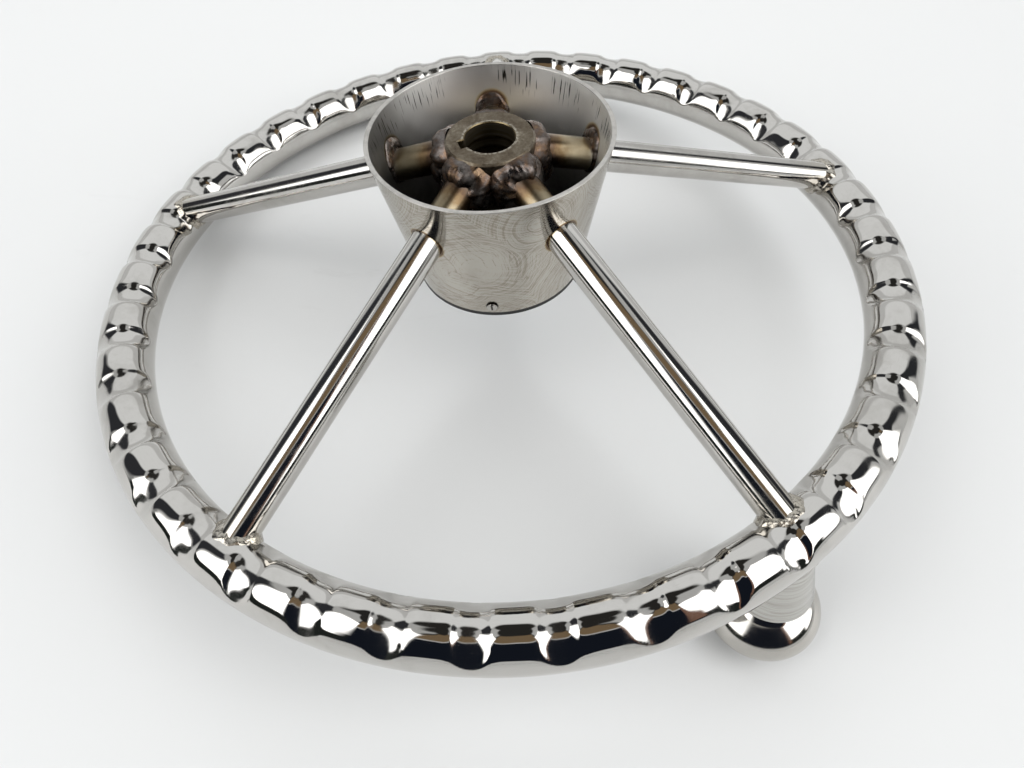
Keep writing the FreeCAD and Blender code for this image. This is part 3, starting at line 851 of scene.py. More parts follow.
@dataclass(frozen=True)
class SatinSteel(Finish):
    """The cone's inside and lip: a grey satin with short dark ticks below the lip, and on the inside painted
    light high up and painted shade low down and on one side.
    """

    rough: float = 0.34
    ticks: bool = True
    # Painted light and shade for the inside wall: a near-white tone for its top, dark tones for its bottom
    # and for one side.
    upper: Colour = (1.0, 0.99, 0.96)
    painted_low_shade: Colour = (0.16, 0.155, 0.145)
    shaded: Colour = (0.10, 0.098, 0.092)
    ticked: Colour = (0.045, 0.04, 0.035)

    def material(self, sizes: WheelSizes) -> Material:
        """Makes the material.

        Args:
            sizes: The wheel's sizes, which place the painted light and shade, the ticks and the stains.

        Returns:
            The material.
        """
        w = Surface(self.name)
        grain = GRAIN.place(w, Where=w.lie, Stretch=(70.0, 1500.0, 1.0))
        patches = SMUDGES.place(w, Clean=self.rough, Dull=self.rough + 0.14)
        steel = w.mix(w.times(grain["Lines"], 0.6), self.colour, self.darker(0.5))
        mottled = w.span(w.clouds(w.where, 240.0, 5.0, 0.7), 0.42, 0.66, 0.0, 0.5)
        steel = w.mix(mottled, steel, self.darker(0.6))
        # This switch also turns on the painted light and shade of the inside wall.
        if self.ticks:
            steel = self._shaded_and_worked(w, steel, sizes)
        return w.done(steel, patches["Roughness"], grain["Height"], 1.0, 0.012 * MM)

    def _shaded_and_worked(self, w: Surface, steel: Socket, sizes: WheelSizes) -> Socket:
        """Adds painted light on the upper inside wall and painted shade towards its bottom and on one side,
        the ticks below the lip and the heat round the welds.

        Args:
            w: The material's surface.
            steel: The steel's colour.
            sizes: The wheel's sizes.

        Returns:
            The colour with all of that.
        """
        lip = sizes.lip_height
        height = w.parts(w.where)["Z"]
        # Painted shade and light: the inside wall is darker towards the bottom and lightened towards white
        # higher up.
        low = w.span(height, lip - 48 * MM, lip - 9 * MM, 1.0, 0.0)
        steel = w.mix(low, w.mix(0.86, steel, self.upper), w.mix(0.5, steel, self.painted_low_shade))
        # Painted shade: one side of the inside wall is darkened, as if the light fell from the other side.
        painted_shade_lean = w.vector("DOT_PRODUCT", w.where, (-0.75 / sizes.lip_radius, -0.65 / sizes.lip_radius, 0.0))
        steel = w.mix(w.span(painted_shade_lean, -0.5, 0.7, 0.0, 0.88), steel, self.shaded)
        band = w.times(w.span(height, lip - 13 * MM, lip - 8 * MM),
                       w.span(height, lip - 3 * MM, lip - 1.5 * MM, 1.0, 0.2))
        drawn = w.clouds(w.stretched(w.lie, (1900.0, 80.0, 1.0)), 1.0, 1.0, 0.5)
        gate = w.clouds(w.stretched(w.lie, (40.0, 45.0, 1.0)), 1.0, 2.0)
        mark = w.times(w.span(drawn, 0.60, 0.66), w.span(gate, 0.41, 0.51))
        steel = w.mix(w.times(mark, band), steel, self.ticked)
        heats: list[Socket] = []
        for azimuth in sizes.azimuths():
            weld = sizes.spoke_point(azimuth, sizes.lip_radius - 5.2 * MM) + Vector((0.0, 0.0, 6.5 * MM))
            heats.append(w.span(w.vector("DISTANCE", w.where, tuple(weld)), 5.4 * MM, 7.6 * MM, 0.6, 0.0))
        return HEAT.place(w, Heat=w.highest(heats), Steel=steel)["Colour"]


@dataclass(frozen=True)
class ScaledSteel(Finish):
    """The boss: turned steel that went dull brown-grey in the welder's heat."""

    def material(self, sizes: WheelSizes) -> Material:
        """Makes the material.

        Args:
            sizes: The wheel's sizes, which place the worn bore edge and its painted highlight.

        Returns:
            The material.
        """
        w = Surface(self.name, 0.9)
        broad = w.clouds(w.where, 150.0, 5.0, 0.65, 0.8)
        fine = w.clouds(w.where, 900.0, 3.0, 0.6)
        scale = w.ramp(w.weighed(broad, 0.7, fine, 0.3), (
            (0.30, (0.040, 0.028, 0.018)),
            (0.44, (0.095, 0.073, 0.048)),
            (0.56, (0.155, 0.130, 0.095)),
            (0.72, (0.330, 0.290, 0.225)),
        ))
        edge = w.off(w.from_axis(w.where), sizes.bore_radius + 0.5 * MM)
        # Worn metal and a painted highlight: a bright, broken ring at the bore's edge.
        rubbed_and_lit = w.times(w.span(edge, 0.2 * MM, 1.1 * MM, 1.0, 0.0), w.span(fine, 0.35, 0.6))
        rough = w.span(w.minus(broad, w.times(rubbed_and_lit, 0.3)), 0.2, 0.7, 0.24, 0.44)
        steel = w.mix(w.times(rubbed_and_lit, 0.4), scale, self.colour)
        return w.done(steel, rough, w.plus(broad, fine), 0.7, 0.05 * MM)


@dataclass(frozen=True)
class WeldSteel(Finish):
    """A weld bead: rippled metal, bright or stained by its heat."""

    heat: float = 0.0
    rough: float = 0.2
    dark_tone: Colour = (0.07, 0.055, 0.045)

    def material(self) -> Material:
        """Makes the material.

        Returns:
            The material.
        """
        w = Surface(self.name)
        lumps = w.clouds(w.where, 260.0, 4.0, 0.6, 0.5)
        pits = w.clouds(w.where, 1500.0, 3.0, 0.6)
        patchy = w.span(w.clouds(w.where, 130.0, 3.0, 0.6, 0.6), 0.34, 0.66, 0.72, 1.25)
        heated = HEAT.place(w, Heat=w.times(patchy, self.heat), Steel=self.colour)
        steel = w.mix(w.times(w.span(pits, 0.52, 0.66), 0.6), heated["Colour"], self.dark_tone)
        rough = w.span(lumps, 0.3, 0.7, self.rough * 0.6, self.rough * 1.7)
        return w.done(steel, rough, w.weighed(lumps, 0.7, pits, 0.3), 0.9, 0.22 * MM)


@dataclass(frozen=True)
class TurnedSteel(Finish):
    """A face with the lathe's rings, or a machined screw."""

    rough: float = 0.24
    rings: float = 2600.0
    centre: Point = (0.0, 0.0, 0.0)
    grooved: Colour = (0.29, 0.265, 0.23)

    def material(self) -> Material:
        """Makes the material.

        Returns:
            The material.
        """
        w = Surface(self.name)
        offset = w.vector("SUBTRACT", w.where, self.centre)
        across = w.node("ShaderNodeCombineXYZ", X=w.times(w.from_axis(offset), self.rings),
                        Y=w.times(w.parts(offset)["Z"], self.rings), Z=w.clouds(w.where, 60.0, 1.0))
        lines = w.clouds(across.outputs[0], 1.0, 3.0, 0.6)
        steel = w.mix(w.times(w.span(lines, 0.44, 0.64), 0.5), self.colour, self.grooved)
        rough = w.span(lines, 0.3, 0.7, self.rough * 0.75, self.rough * 1.4)
        return w.done(steel, rough, lines, 1.0, 0.02 * MM)


@dataclass(frozen=True)
class SlottedSteel(Finish):
    """A cap screw's head: bright on top, with soiling and painted shade round its foot and in its slot."""

    rough: float = 0.26
    # Near-black for the painted shade and soiling low on the head.
    soil_and_shade_colour: Colour = (0.02, 0.017, 0.014)

    def material(self, seat: Vector, out: Vector) -> Material:
        """Makes the material.

        Args:
            seat: The middle of the head's seat.
            out: The way that the head faces.

        Returns:
            The material.
        """
        w = Surface(self.name)
        # Painted shade and soiling: the head goes near-black within about 0.55 to 0.9 mm of its seat, at its
        # foot and down in its slot.
        soil_and_shade = w.span(w.from_line(seat, out)[1], 0.55 * MM, 0.9 * MM, 1.0, 0.0)
        fine = w.clouds(w.where, 1800.0, 3.0, 0.6)
        steel = w.mix(w.span(fine, 0.4, 0.7), self.colour, self.darker(0.6))
        return w.done(w.mix(soil_and_shade, steel, self.soil_and_shade_colour), self.rough, fine, 0.6, 0.02 * MM)


@dataclass(frozen=True)
class MouldedPlastic(Finish):
    """Black moulded plastic with a fine sparked texture."""

    dusty: Colour = (0.03, 0.029, 0.027)

    def material(self) -> Material:
        """Makes the material.

        Returns:
            The material.
        """
        w = Surface(self.name, 0.0)
        grain = w.clouds(w.where, 2600.0, 3.0, 0.6)
        dust = w.span(w.clouds(w.where, 120.0, 5.0, 0.7), 0.5, 0.75)
        plastic = w.mix(w.times(dust, 0.35), self.colour, self.dusty)
        return w.done(plastic, w.span(grain, 0.3, 0.7, 0.38, 0.56), grain, 0.5, 0.03 * MM)


@dataclass(frozen=True)
class TableTop(Finish):
    """The pale table: smooth white with faint grey scuffs."""

    rough: float = 0.42
    shine: float = 0.25
    scuffed: Colour = (0.45, 0.45, 0.44)

    def material(self) -> Material:
        """Makes the material.

        Returns:
            The material.
        """
        w = Surface(self.name, 0.0)
        scuff = w.clouds(w.stretched(w.where, (22.0, 60.0, 22.0)), 1.0, 4.0, 0.7, 1.2)
        faint = w.times(w.span(scuff, 0.60, 0.74), w.span(w.clouds(w.where, 6.0, 2.0), 0.52, 0.7))
        w.shader.inputs["Specular IOR Level"].default_value = self.shine
        top = w.mix(w.times(faint, 0.10), self.colour, self.scuffed)
        return w.done(top, self.rough, w.clouds(w.where, 700.0, 2.0), 0.05, 0.05 * MM)


@dataclass(frozen=True)
class RimRing:
    """The rim tube with its finger grips: forty pressed hollows, with crowned pillows between them."""

    sizes: WheelSizes
    grips_between_spokes: int = 8
    grip_width: float = 11.0 * MM
    grip_depth: float = 1.1 * MM
    grip_flatness: float = 2.7
    pillow_crown: float = 0.4 * MM
    pillow_flatness: float = 4.0
    uneven: tuple[tuple[float, float], ...] = (
        (0.0, 2.1), (30.0, 1.4), (60.0, 0.6), (90.0, 0.0), (108.0, -0.4), (130.0, -0.3), (150.0, 0.1),
        (175.0, -0.7), (200.0, -1.2), (210.0, 0.4), (235.0, 0.5), (258.0, 0.5), (276.0, 1.0), (286.0, 2.1),
        (310.0, 1.8), (335.0, 2.2), (360.0, 2.1),
    )
    press_change: float = 0.10
    press_drift: float = 0.2 * MM
    grip_start: float = math.radians(17.0)
    grip_end: float = math.radians(167.0)
    end_round: float = math.radians(34.0)
    edge_softness: float = 0.13 * MM
    edge_reach: float = 1.06
    crease: float = math.radians(60.0)
    columns: int = 36
    rows: int = 96

    @property
    def grips(self) -> int:
        """How many grips go round."""
        return self.grips_between_spokes * self.sizes.spoke_count

    @property
    def pitch(self) -> float:
        """The angle from one grip to the next."""
        return math.tau / self.grips

    def pressed(self, along: float, turn: float) -> float:
        """How far the tube is pressed in.

        Args:
            along: Distance from the grip's middle, along the ring.
            turn: Angle round the tube, from outwards towards the helm.

        Returns:
            The depth below the plain tube there.
        """
        if not self.grip_start < turn < self.grip_end:
            return 0.0
        fade = min(min(turn - self.grip_start, self.grip_end - turn) / self.end_round, 1.0)
        width = math.sqrt(max(1.0 - (1.0 - fade) ** 2, 0.0))
        half_pitch = self.pitch * self.sizes.ring_radius / 2
        half_grip = self.grip_width / 2
        off_pillow = min(max((half_pitch - abs(along)) / (half_pitch - half_grip), 0.0), 1.0)
        crown = self.pillow_crown * fade * fade * (3.0 - 2.0 * fade) * off_pillow ** self.pillow_flatness
        if width < 0.02:
            return crown
        share = along / (half_grip * width)
        raw = self.grip_depth * width * (1.0 - abs(share) ** self.grip_flatness)
        soft = self.edge_softness
        return crown + (0.5 * (raw + math.sqrt(raw * raw + soft * soft)) if raw > -4 * soft else 0.0)

    def shifted(self, azimuth: float) -> float:
        """Gives an azimuth the hand-pressed grips' uneven spacing.

        Args:
            azimuth: The azimuth with even spacing, in radians.

        Returns:
            The real azimuth.
        """
        degrees = math.degrees(azimuth) % 360.0
        for (start, before), (end, after) in zip(self.uneven, self.uneven[1:]):
            if degrees <= end:
                return azimuth + math.radians(before + (after - before) * (degrees - start) / (end - start))
        return azimuth

    def depth_at(self, point: Vector) -> float:
        """How far the tube is pressed in beside a point.

        Args:
            point: The point.

        Returns:
            The depth below the plain tube.
        """
        azimuth = math.atan2(point.y, point.x)
        even = 2.0 * azimuth - self.shifted(azimuth)
        grips = (even - self.sizes.first_spoke) / self.pitch - 0.5
        along = (grips - round(grips)) * self.pitch * self.sizes.ring_radius
        outwards = math.hypot(point.x, point.y) - self.sizes.ring_radius
        return self.pressed(along, math.atan2(point.z - self.sizes.rim_height, outwards))

    def stations(self) -> list[float]:
        """Spaces one pitch's outlines, closer together at the hollow's edges.

        Returns:
            Their azimuths from the hollow's middle.
        """
        edge = self.grip_width / 2 / self.sizes.ring_radius * self.edge_reach
        inner = self.columns * 3 // 5
        outer = self.columns - inner
        hollow = [edge * math.sin((2.0 * i / inner - 1.0) * math.pi / 2) for i in range(inner)]
        return hollow + [edge + (self.pitch - 2.0 * edge) * (i / outer) for i in range(outer)]

    def build(self, finish: MirrorSteel) -> Piece:
        """Builds and dresses the rim.

        Args:
            finish: Its finish.

        Returns:
            The rim.
        """
        s = self.sizes
        rows: list[list[Vector]] = []
        for grip in range(self.grips):
            middle = s.first_spoke + self.pitch * (grip + 0.5)
            press = 1.0 + self.press_change * wobble(Vector((grip * 0.7, 0.0, 0.0)), 1.0, 3.1)
            drift = self.press_drift * wobble(Vector((grip * 0.9, 2.0, 0.0)), 1.0, 5.3)
            for offset in self.stations():
                along = (offset if offset < self.pitch / 2 else offset - self.pitch) * s.ring_radius - drift
                rows.append(self._section(self.shifted(middle + offset), along, press))
        item = Grid(rows, closed_rows=True, closed_columns=True).build("rim_ring", self.crease)
        return finished(item, WHEEL, "rim", Slot.POLISHED, finish.material(s))

    def _section(self, azimuth: float, along: float, press: float) -> list[Vector]:
        """One outline of the tube.

        Args:
            azimuth: Where on the ring.
            along: Distance from the nearest grip's middle.
            press: How much deeper or shallower this grip is than the others.

        Returns:
            The points round the tube.
        """
        s = self.sizes
        out: list[Vector] = []
        for j in range(self.rows):
            turn = math.tau * j / self.rows
            radius = s.tube_radius - press * self.pressed(along, turn)
            out.append(polar(s.ring_radius + radius * math.cos(turn), azimuth,
                             s.rim_height + radius * math.sin(turn)))
        return out


@dataclass(frozen=True)
class Spokes:
    """The five round tubes from the boss to the rim."""

    sizes: WheelSizes
    segments: int = 72
    steps: int = 40
    set_in: float = 3.0 * MM

    def build(self, finish: MirrorSteel) -> list[Piece]:
        """Builds and dresses the spokes.

        Args:
            finish: Their finish.

        Returns:
            The spokes, in order.
        """
        s = self.sizes
        material = finish.material(s)
        turns = [math.tau * j / self.segments for j in range(self.segments)]
        out: list[Piece] = []
        for number, azimuth in enumerate(s.azimuths(), start=1):
            side = Vector((-math.sin(azimuth), math.cos(azimuth), 0.0))
            up = side.cross(s.spoke_direction(azimuth))
            start = s.spoke_point(azimuth, s.boss_radius - self.set_in)
            end = s.spoke_point(azimuth, s.ring_radius)
            rows: list[list[Vector]] = []
            for i in range(self.steps + 1):
                middle = start.lerp(end, i / self.steps)
                rows.append([middle + s.spoke_radius * (side * math.cos(turn) + up * math.sin(turn))
                             for turn in turns])
            item = Grid(rows, closed_columns=True).build(f"spoke_tube_{number}")
            out.append(finished(item, WHEEL, f"spoke_{number}", Slot.POLISHED, material))
        return out


@dataclass(frozen=True)
class HubCone:
    """The tapered shell that the spokes pass through, open at the helm side."""

    sizes: WheelSizes
    segments: int = 192
    lip_round: float = 0.3 * MM

    def build(self, outside: SwirlSteel, inside: SatinSteel, lip: SatinSteel) -> Piece:
        """Builds and dresses the cone.

        Args:
            outside: The finish of the outer wall.
            inside: The finish of the inner wall.
            lip: The finish of the lip.

        Returns:
            The cone.
        """
        s = self.sizes
        corners = [
            (s.cone_bottom_radius, s.cone_bottom),
            (s.lip_radius, s.lip_height),
            (s.lip_radius - s.cone_wall, s.lip_height),
            (s.cone_bottom_radius - s.cone_wall, s.cone_bottom),
        ]
        profile = rounded(corners, {1: self.lip_round, 2: self.lip_round})
        slots = [0] * len(profile)
        top = s.lip_height - 1.5 * self.lip_round
        for number, (start, end) in enumerate(zip(profile, profile[1:] + profile[:1])):
            if min(start[1], end[1]) > top:
                slots[number] = 2
            elif (start[0] + end[0]) / 2 < s.cone_radius((start[1] + end[1]) / 2) - s.cone_wall / 2:
                slots[number] = 1
        item = lathe("hub_cone_shell", profile, Vector(), self.segments, slots)
        materials = (finish.material(s) for finish in (outside, inside, lip))
        return finished(item, WHEEL, "hub_cone", Slot.BRUSHED, *materials)


@dataclass(frozen=True)
class HubBoss:
    """The turned boss with its shaft bore and keyway."""

    sizes: WheelSizes
    chamfer: float = 0.8 * MM
    bore_edge: float = 0.35 * MM
    key_width: float = 4.76 * MM
    key_depth: float = 2.4 * MM
    key_azimuth: float = math.radians(198.0)
    segments: int = 144

    def _bore(self, grow: float) -> Outline:
        """The bore's outline with its keyway, from the keyway's middle round.

        Args:
            grow: How much wider than the bore the outline is.

        Returns:
            The points, in the plane of the boss's face.
        """
        radius = self.sizes.bore_radius + grow
        half = self.key_width / 2 + grow
        deep = self.sizes.bore_radius + self.key_depth + grow
        mouth = math.asin(half / radius)
        points = [(deep, 0.0), (deep, half), (radius * math.cos(mouth), half)]
        arc = self.segments - 5
        for i in range(1, arc + 1):
            turn = mouth + (math.tau - 2 * mouth) * i / (arc + 1)
            points.append((radius * math.cos(turn), radius * math.sin(turn)))
        points += [(radius * math.cos(mouth), -half), (deep, -half)]
        spin = Matrix.Rotation(self.key_azimuth, 2)
        return [tuple(spin @ Vector(point)) for point in points]

    def build(self, finish: ScaledSteel, bore_finish: TurnedSteel) -> Piece:
        """Builds and dresses the boss.

        Args:
            finish: Its finish.
            bore_finish: The finish of the bore and its keyway.

        Returns:
            The boss.
        """
        s = self.sizes
        low = s.boss_bottom
        face = s.boss_radius - self.chamfer
        up = Vector((0.0, 0.0, 1.0))
        columns: list[list[Vector]] = []
        for bore, mouth in zip(self._bore(0.0), self._bore(self.bore_edge)):
            out = polar(1.0, math.atan2(bore[1], bore[0]), 0.0)
            inner, edge = Vector((*bore, 0.0)), Vector((*mouth, 0.0))
            columns.append([
                inner + up * (low + self.bore_edge),
                inner - up * self.bore_edge,
                edge,
                edge.lerp(out * face, 0.5),
                out * face,
                out * s.boss_radius - up * self.chamfer,
                out * s.boss_radius + up * (low + self.chamfer),
                out * face + up * low,
                edge + up * low,
            ])
        slots = [1, 1, 0, 0, 0, 0, 0, 0, 1]
        item = Grid(columns, closed_rows=True, closed_columns=True, slots=slots).build("boss_turning")
        return finished(item, WHEEL, "hub_boss", Slot.TURNED, finish.material(s), bore_finish.material())


@dataclass(frozen=True)
class CentreCap:
    """The moulded cover under the cone."""

    sizes: WheelSizes
    flange: float = 2.0 * MM
    dome: float = 5.0 * MM
    wall: float = 2.0 * MM
    skirt: float = 10.0 * MM
    clearance: float = 0.2 * MM
    gap: float = 0.05 * MM
    edge: float = 0.3 * MM
    segments: int = 128
    dome_steps: int = 12

    def _dome(self, edge: float, radius: float, middle: float) -> Outline:
        """The points of a dome, from near the axis to its edge, on a sphere round a middle height."""
        reach = [max(edge * i / self.dome_steps, AT_AXIS) for i in range(self.dome_steps + 1)]
        return [(across, middle - math.sqrt(radius ** 2 - across ** 2)) for across in reach]

    def build(self, finish: MouldedPlastic) -> Piece:
        """Builds and dresses the cap.

        Args:
            finish: Its finish.

        Returns:
            The cap.
        """
        s = self.sizes
        base = s.cone_bottom - self.flange
        skirt = s.cone_bottom_radius - s.cone_wall - self.clearance
        radius = (skirt ** 2 + self.dome ** 2) / (2 * self.dome)
        middle = base - self.dome + radius
        outer = self._dome(skirt, radius, middle)
        inner = self._dome(skirt - self.wall, radius - self.wall, middle)
        rim = [
            (s.cone_bottom_radius - self.edge, base),
            (s.cone_bottom_radius, base + self.edge),
            (s.cone_bottom_radius, s.cone_bottom - self.gap),
            (skirt, s.cone_bottom - self.gap),
            (skirt, s.cone_bottom + self.skirt),
            (skirt - self.wall, s.cone_bottom + self.skirt),
        ]
        item = lathe("cap_moulding", outer + rim + inner[::-1], Vector(), self.segments)
        return finished(item, WHEEL, "centre_cap", Slot.PLASTIC, finish.material())


@dataclass(frozen=True)
class Bead:
    """How one kind of weld bead is laid."""

    rod_leg: float
    base_leg: float
    crown: float
    ripple: float
    upper_leg: float = 0.0
    ragged: float = 0.3
    steps: int = 110


@dataclass(frozen=True)
class WeldSeam:
    """One bead along the joint between a round rod and the part that it meets."""

    foot: Vector
    axis: Vector
    radius: float
    clear: Callable[[Vector], float]
    bead: Bead
    seed: float
    width: int = 12
    reach: float = 60.0 * MM
    halvings: int = 40
    settlings: int = 3
    probe: float = 0.02 * MM
    turn_probe: float = 0.02
    sunk: float = 0.12 * MM
    ripple_length: float = 1.5 * MM
    rod_lump: float = 3.2 * MM
    base_lump: float = 2.6 * MM
    skin_lump: float = 1.7 * MM
    fine_lump: float = 0.8 * MM

    def _radial(self, turn: float) -> Vector:
        """The direction away from the rod's axis at an angle, with 0 at its upper side."""
        side = self.axis.orthogonal() if abs(self.axis.z) > 0.99 else self.axis.cross(Vector((0, 0, 1)))
        side.normalize()
        up = side.cross(self.axis)
        return up * math.cos(turn) + side * math.sin(turn)

    def _meet(self, turn: float) -> Vector:
        """The point where a line along the rod's skin leaves the other part.

        Args:
            turn: The angle round the rod.

        Returns:
            The point on the joint.
        """
        start = self.foot + self._radial(turn) * self.radius
        low, high = 0.0, self.reach
        for _ in range(self.halvings):
            middle = (low + high) / 2
            if self.clear(start + self.axis * middle) < 0.0:
                low = middle
            else:
                high = middle
        return start + self.axis * high

    def _normal(self, point: Vector) -> Vector:
        """The other part's outward direction at a point."""
        step = self.probe
        steps = (Vector((step, 0, 0)), Vector((0, step, 0)), Vector((0, 0, step)))
        return Vector([self.clear(point + way) - self.clear(point - way) for way in steps]).normalized()

    def _row(self, turn: float, run: float) -> list[Vector]:
        """One cross-section of the bead.

        Args:
            turn: The angle round the rod.
            run: The length of bead laid so far.

        Returns:
            Points from the toe on the rod to the toe on the other part.
        """
        bead = self.bead
        point = self._meet(turn)
        radial = self._radial(turn)
        normal = self._normal(point)
        seam = (self._meet(turn + self.turn_probe) - self._meet(turn - self.turn_probe)).normalized()
        on_rod = seam.cross(radial).normalized()
        if self.clear(point + on_rod * 0.2 * MM) < self.clear(point - on_rod * 0.2 * MM):
            on_rod.negate()
        on_base = seam.cross(normal).normalized()
        if on_base.dot(radial) < 0.0:
            on_base.negate()
        vary = 1.0 + bead.ragged * wobble(point, self.rod_lump, self.seed)
        vary_base = 1.0 + bead.ragged * wobble(point, self.base_lump, self.seed + 9.0)
        rod_toe = point + on_rod * bead.rod_leg * vary
        inward = self.foot + self.axis * (rod_toe - self.foot).dot(self.axis)
        rod_toe = inward + (rod_toe - inward).normalized() * (self.radius - self.sunk)
        leg = bead.base_leg + bead.upper_leg * max(math.cos(turn), 0.0) ** 2
        base_toe = point + on_base * leg * vary_base
        for _ in range(self.settlings):
            base_toe -= self._normal(base_toe) * (self.clear(base_toe) + self.sunk)
        out = (normal + radial).normalized()
        control = (rod_toe + base_toe) / 2 + out * (2.0 * bead.crown * vary)
        row: list[Vector] = []
        for i in range(self.width + 1):
            share = i / self.width
            place = rod_toe.lerp(control, share).lerp(control.lerp(base_toe, share), share)
            hump = math.sin(math.pi * share)
            scallop = abs(math.sin(math.pi * (run / self.ripple_length + 0.5 * (share - 0.5) ** 2)))
            lump = 0.8 * wobble(place, self.skin_lump, self.seed + 4.0)
            lump += 0.5 * wobble(place, self.fine_lump, self.seed + 2.0)
            row.append(place + out * bead.ripple * hump * (0.5 * scallop + lump))
        return row

    def rows(self) -> list[list[Vector]]:
        """Lays the bead round the rod.

        Returns:
            All its cross-sections.
        """
        out: list[list[Vector]] = []
        run = 0.0
        last = self._meet(0.0)
        for i in range(self.bead.steps):
            turn = math.tau * i / self.bead.steps
            point = self._meet(turn)
            run += (point - last).length
            last = point
            out.append(self._row(turn, run))
        return out


@dataclass(frozen=True)
class WeldBeads:
    """All the welds: spokes to boss, spokes to cone, spokes to rim, and the knob's collar to the rim."""

    sizes: WheelSizes
    ring: RimRing
    collar_radius: float = 10.2 * MM
    crease: float = math.radians(70.0)
    at_boss: Bead = Bead(rod_leg=6.2 * MM, base_leg=5.6 * MM, crown=1.7 * MM, ripple=0.34 * MM,
                         upper_leg=-2.3 * MM)
    at_wall: Bead = Bead(rod_leg=1.5 * MM, base_leg=0.7 * MM, crown=0.35 * MM, ripple=0.2 * MM,
                         upper_leg=4.6 * MM)
    at_rim: Bead = Bead(rod_leg=2.0 * MM, base_leg=2.0 * MM, crown=0.2 * MM, ripple=0.26 * MM, ragged=0.8)
    at_collar: Bead = Bead(rod_leg=1.6 * MM, base_leg=1.4 * MM, crown=0.35 * MM, ripple=0.28 * MM, steps=150)

    def _from_boss(self, point: Vector) -> float:
        """Distance outside the boss's round side."""
        return math.hypot(point.x, point.y) - self.sizes.boss_radius

    def _from_wall(self, point: Vector) -> float:
        """Distance inside the cone's inner wall."""
        inner = self.sizes.cone_radius(point.z) - self.sizes.cone_wall
        return inner - math.hypot(point.x, point.y)

    def _from_rim(self, point: Vector) -> float:
        """Distance outside the rim tube, with its grips."""
        flat = math.hypot(point.x, point.y) - self.sizes.ring_radius
        tall = point.z - self.sizes.rim_height
        return math.hypot(flat, tall) - self.sizes.tube_radius + self.ring.depth_at(point)

    def _spoke_seams(self, foot: float, way: float, clear: Callable[[Vector], float], bead: Bead,
                     seeds: tuple[float, float]) -> list[WeldSeam]:
        """Plans one bead at each spoke.

        Args:
            foot: How far from the wheel's axis the search for the joint starts.
            way: 1 to search outwards along the spoke, -1 to search inwards.
            clear: The distance outside the part that the spoke meets.
            bead: How the beads are laid.
            seeds: The first bead's seed, and the step to the next one's.

        Returns:
            The beads.
        """
        s = self.sizes
        return [
            WeldSeam(s.spoke_point(azimuth, foot), way * s.spoke_direction(azimuth), s.spoke_radius, clear,
                     bead, number * seeds[1] + seeds[0])
            for number, azimuth in enumerate(s.azimuths())
        ]

    def _gather(self, name: str, seams: Sequence[WeldSeam], finish: WeldSteel, node: str,
                slot: Slot) -> Piece:
        """Joins several beads into one piece and dresses it.

        Args:
            name: The piece's name.
            seams: The beads.
            finish: Their finish.
            node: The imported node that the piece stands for.
            slot: The record's finish.

        Returns:
            The piece.
        """
        gathered = bmesh.new()
        for number, seam in enumerate(seams):
            part = Grid(seam.rows(), closed_rows=True).build(f"{name}_{number}", self.crease)
            gathered.from_mesh(part.data)
            bpy.data.objects.remove(part)
        mesh = bpy.data.meshes.new(name)
        gathered.to_mesh(mesh)
        gathered.free()
        return finished(link(name, mesh), WHEEL, node, slot, finish.material())

    def boss(self, finish: WeldSteel) -> Piece:
        """Builds the heavy beads on the boss, in a finish."""
        seams = self._spoke_seams(9 * MM, 1.0, self._from_boss, self.at_boss, (0.0, 3.3))
        return self._gather("boss_beads", seams, finish, "boss_welds", Slot.TINTED_WELD)

    def wall(self, finish: WeldSteel) -> Piece:
        """Builds the beads on the cone's inner wall, thick above each spoke, in a finish."""
        start = self.sizes.lip_radius + 8 * MM
        seams = self._spoke_seams(start, -1.0, self._from_wall, self.at_wall, (40.0, 2.1))
        return self._gather("wall_beads", seams, finish, "wall_welds", Slot.TINTED_WELD)

    def rim(self, finish: WeldSteel) -> Piece:
        """Builds the beads at the rim, in a finish."""
        seams = self._spoke_seams(self.sizes.ring_radius, -1.0, self._from_rim, self.at_rim, (80.0, 4.7))
        return self._gather("rim_beads", seams, finish, "rim_welds", Slot.BRIGHT_WELD)

    def collar(self, finish: WeldSteel, axis: Vector) -> Piece:
        """Builds the bead round the knob spindle's collar, in a finish, from a point on the knob's axis."""
        foot = Vector((axis.x, axis.y, self.sizes.rim_height))
        seam = WeldSeam(foot, Vector((0, 0, -1)), self.collar_radius, self._from_rim, self.at_collar, 120.0)
        return self._gather("collar_bead", [seam], finish, "knob_weld", Slot.BRIGHT_WELD)


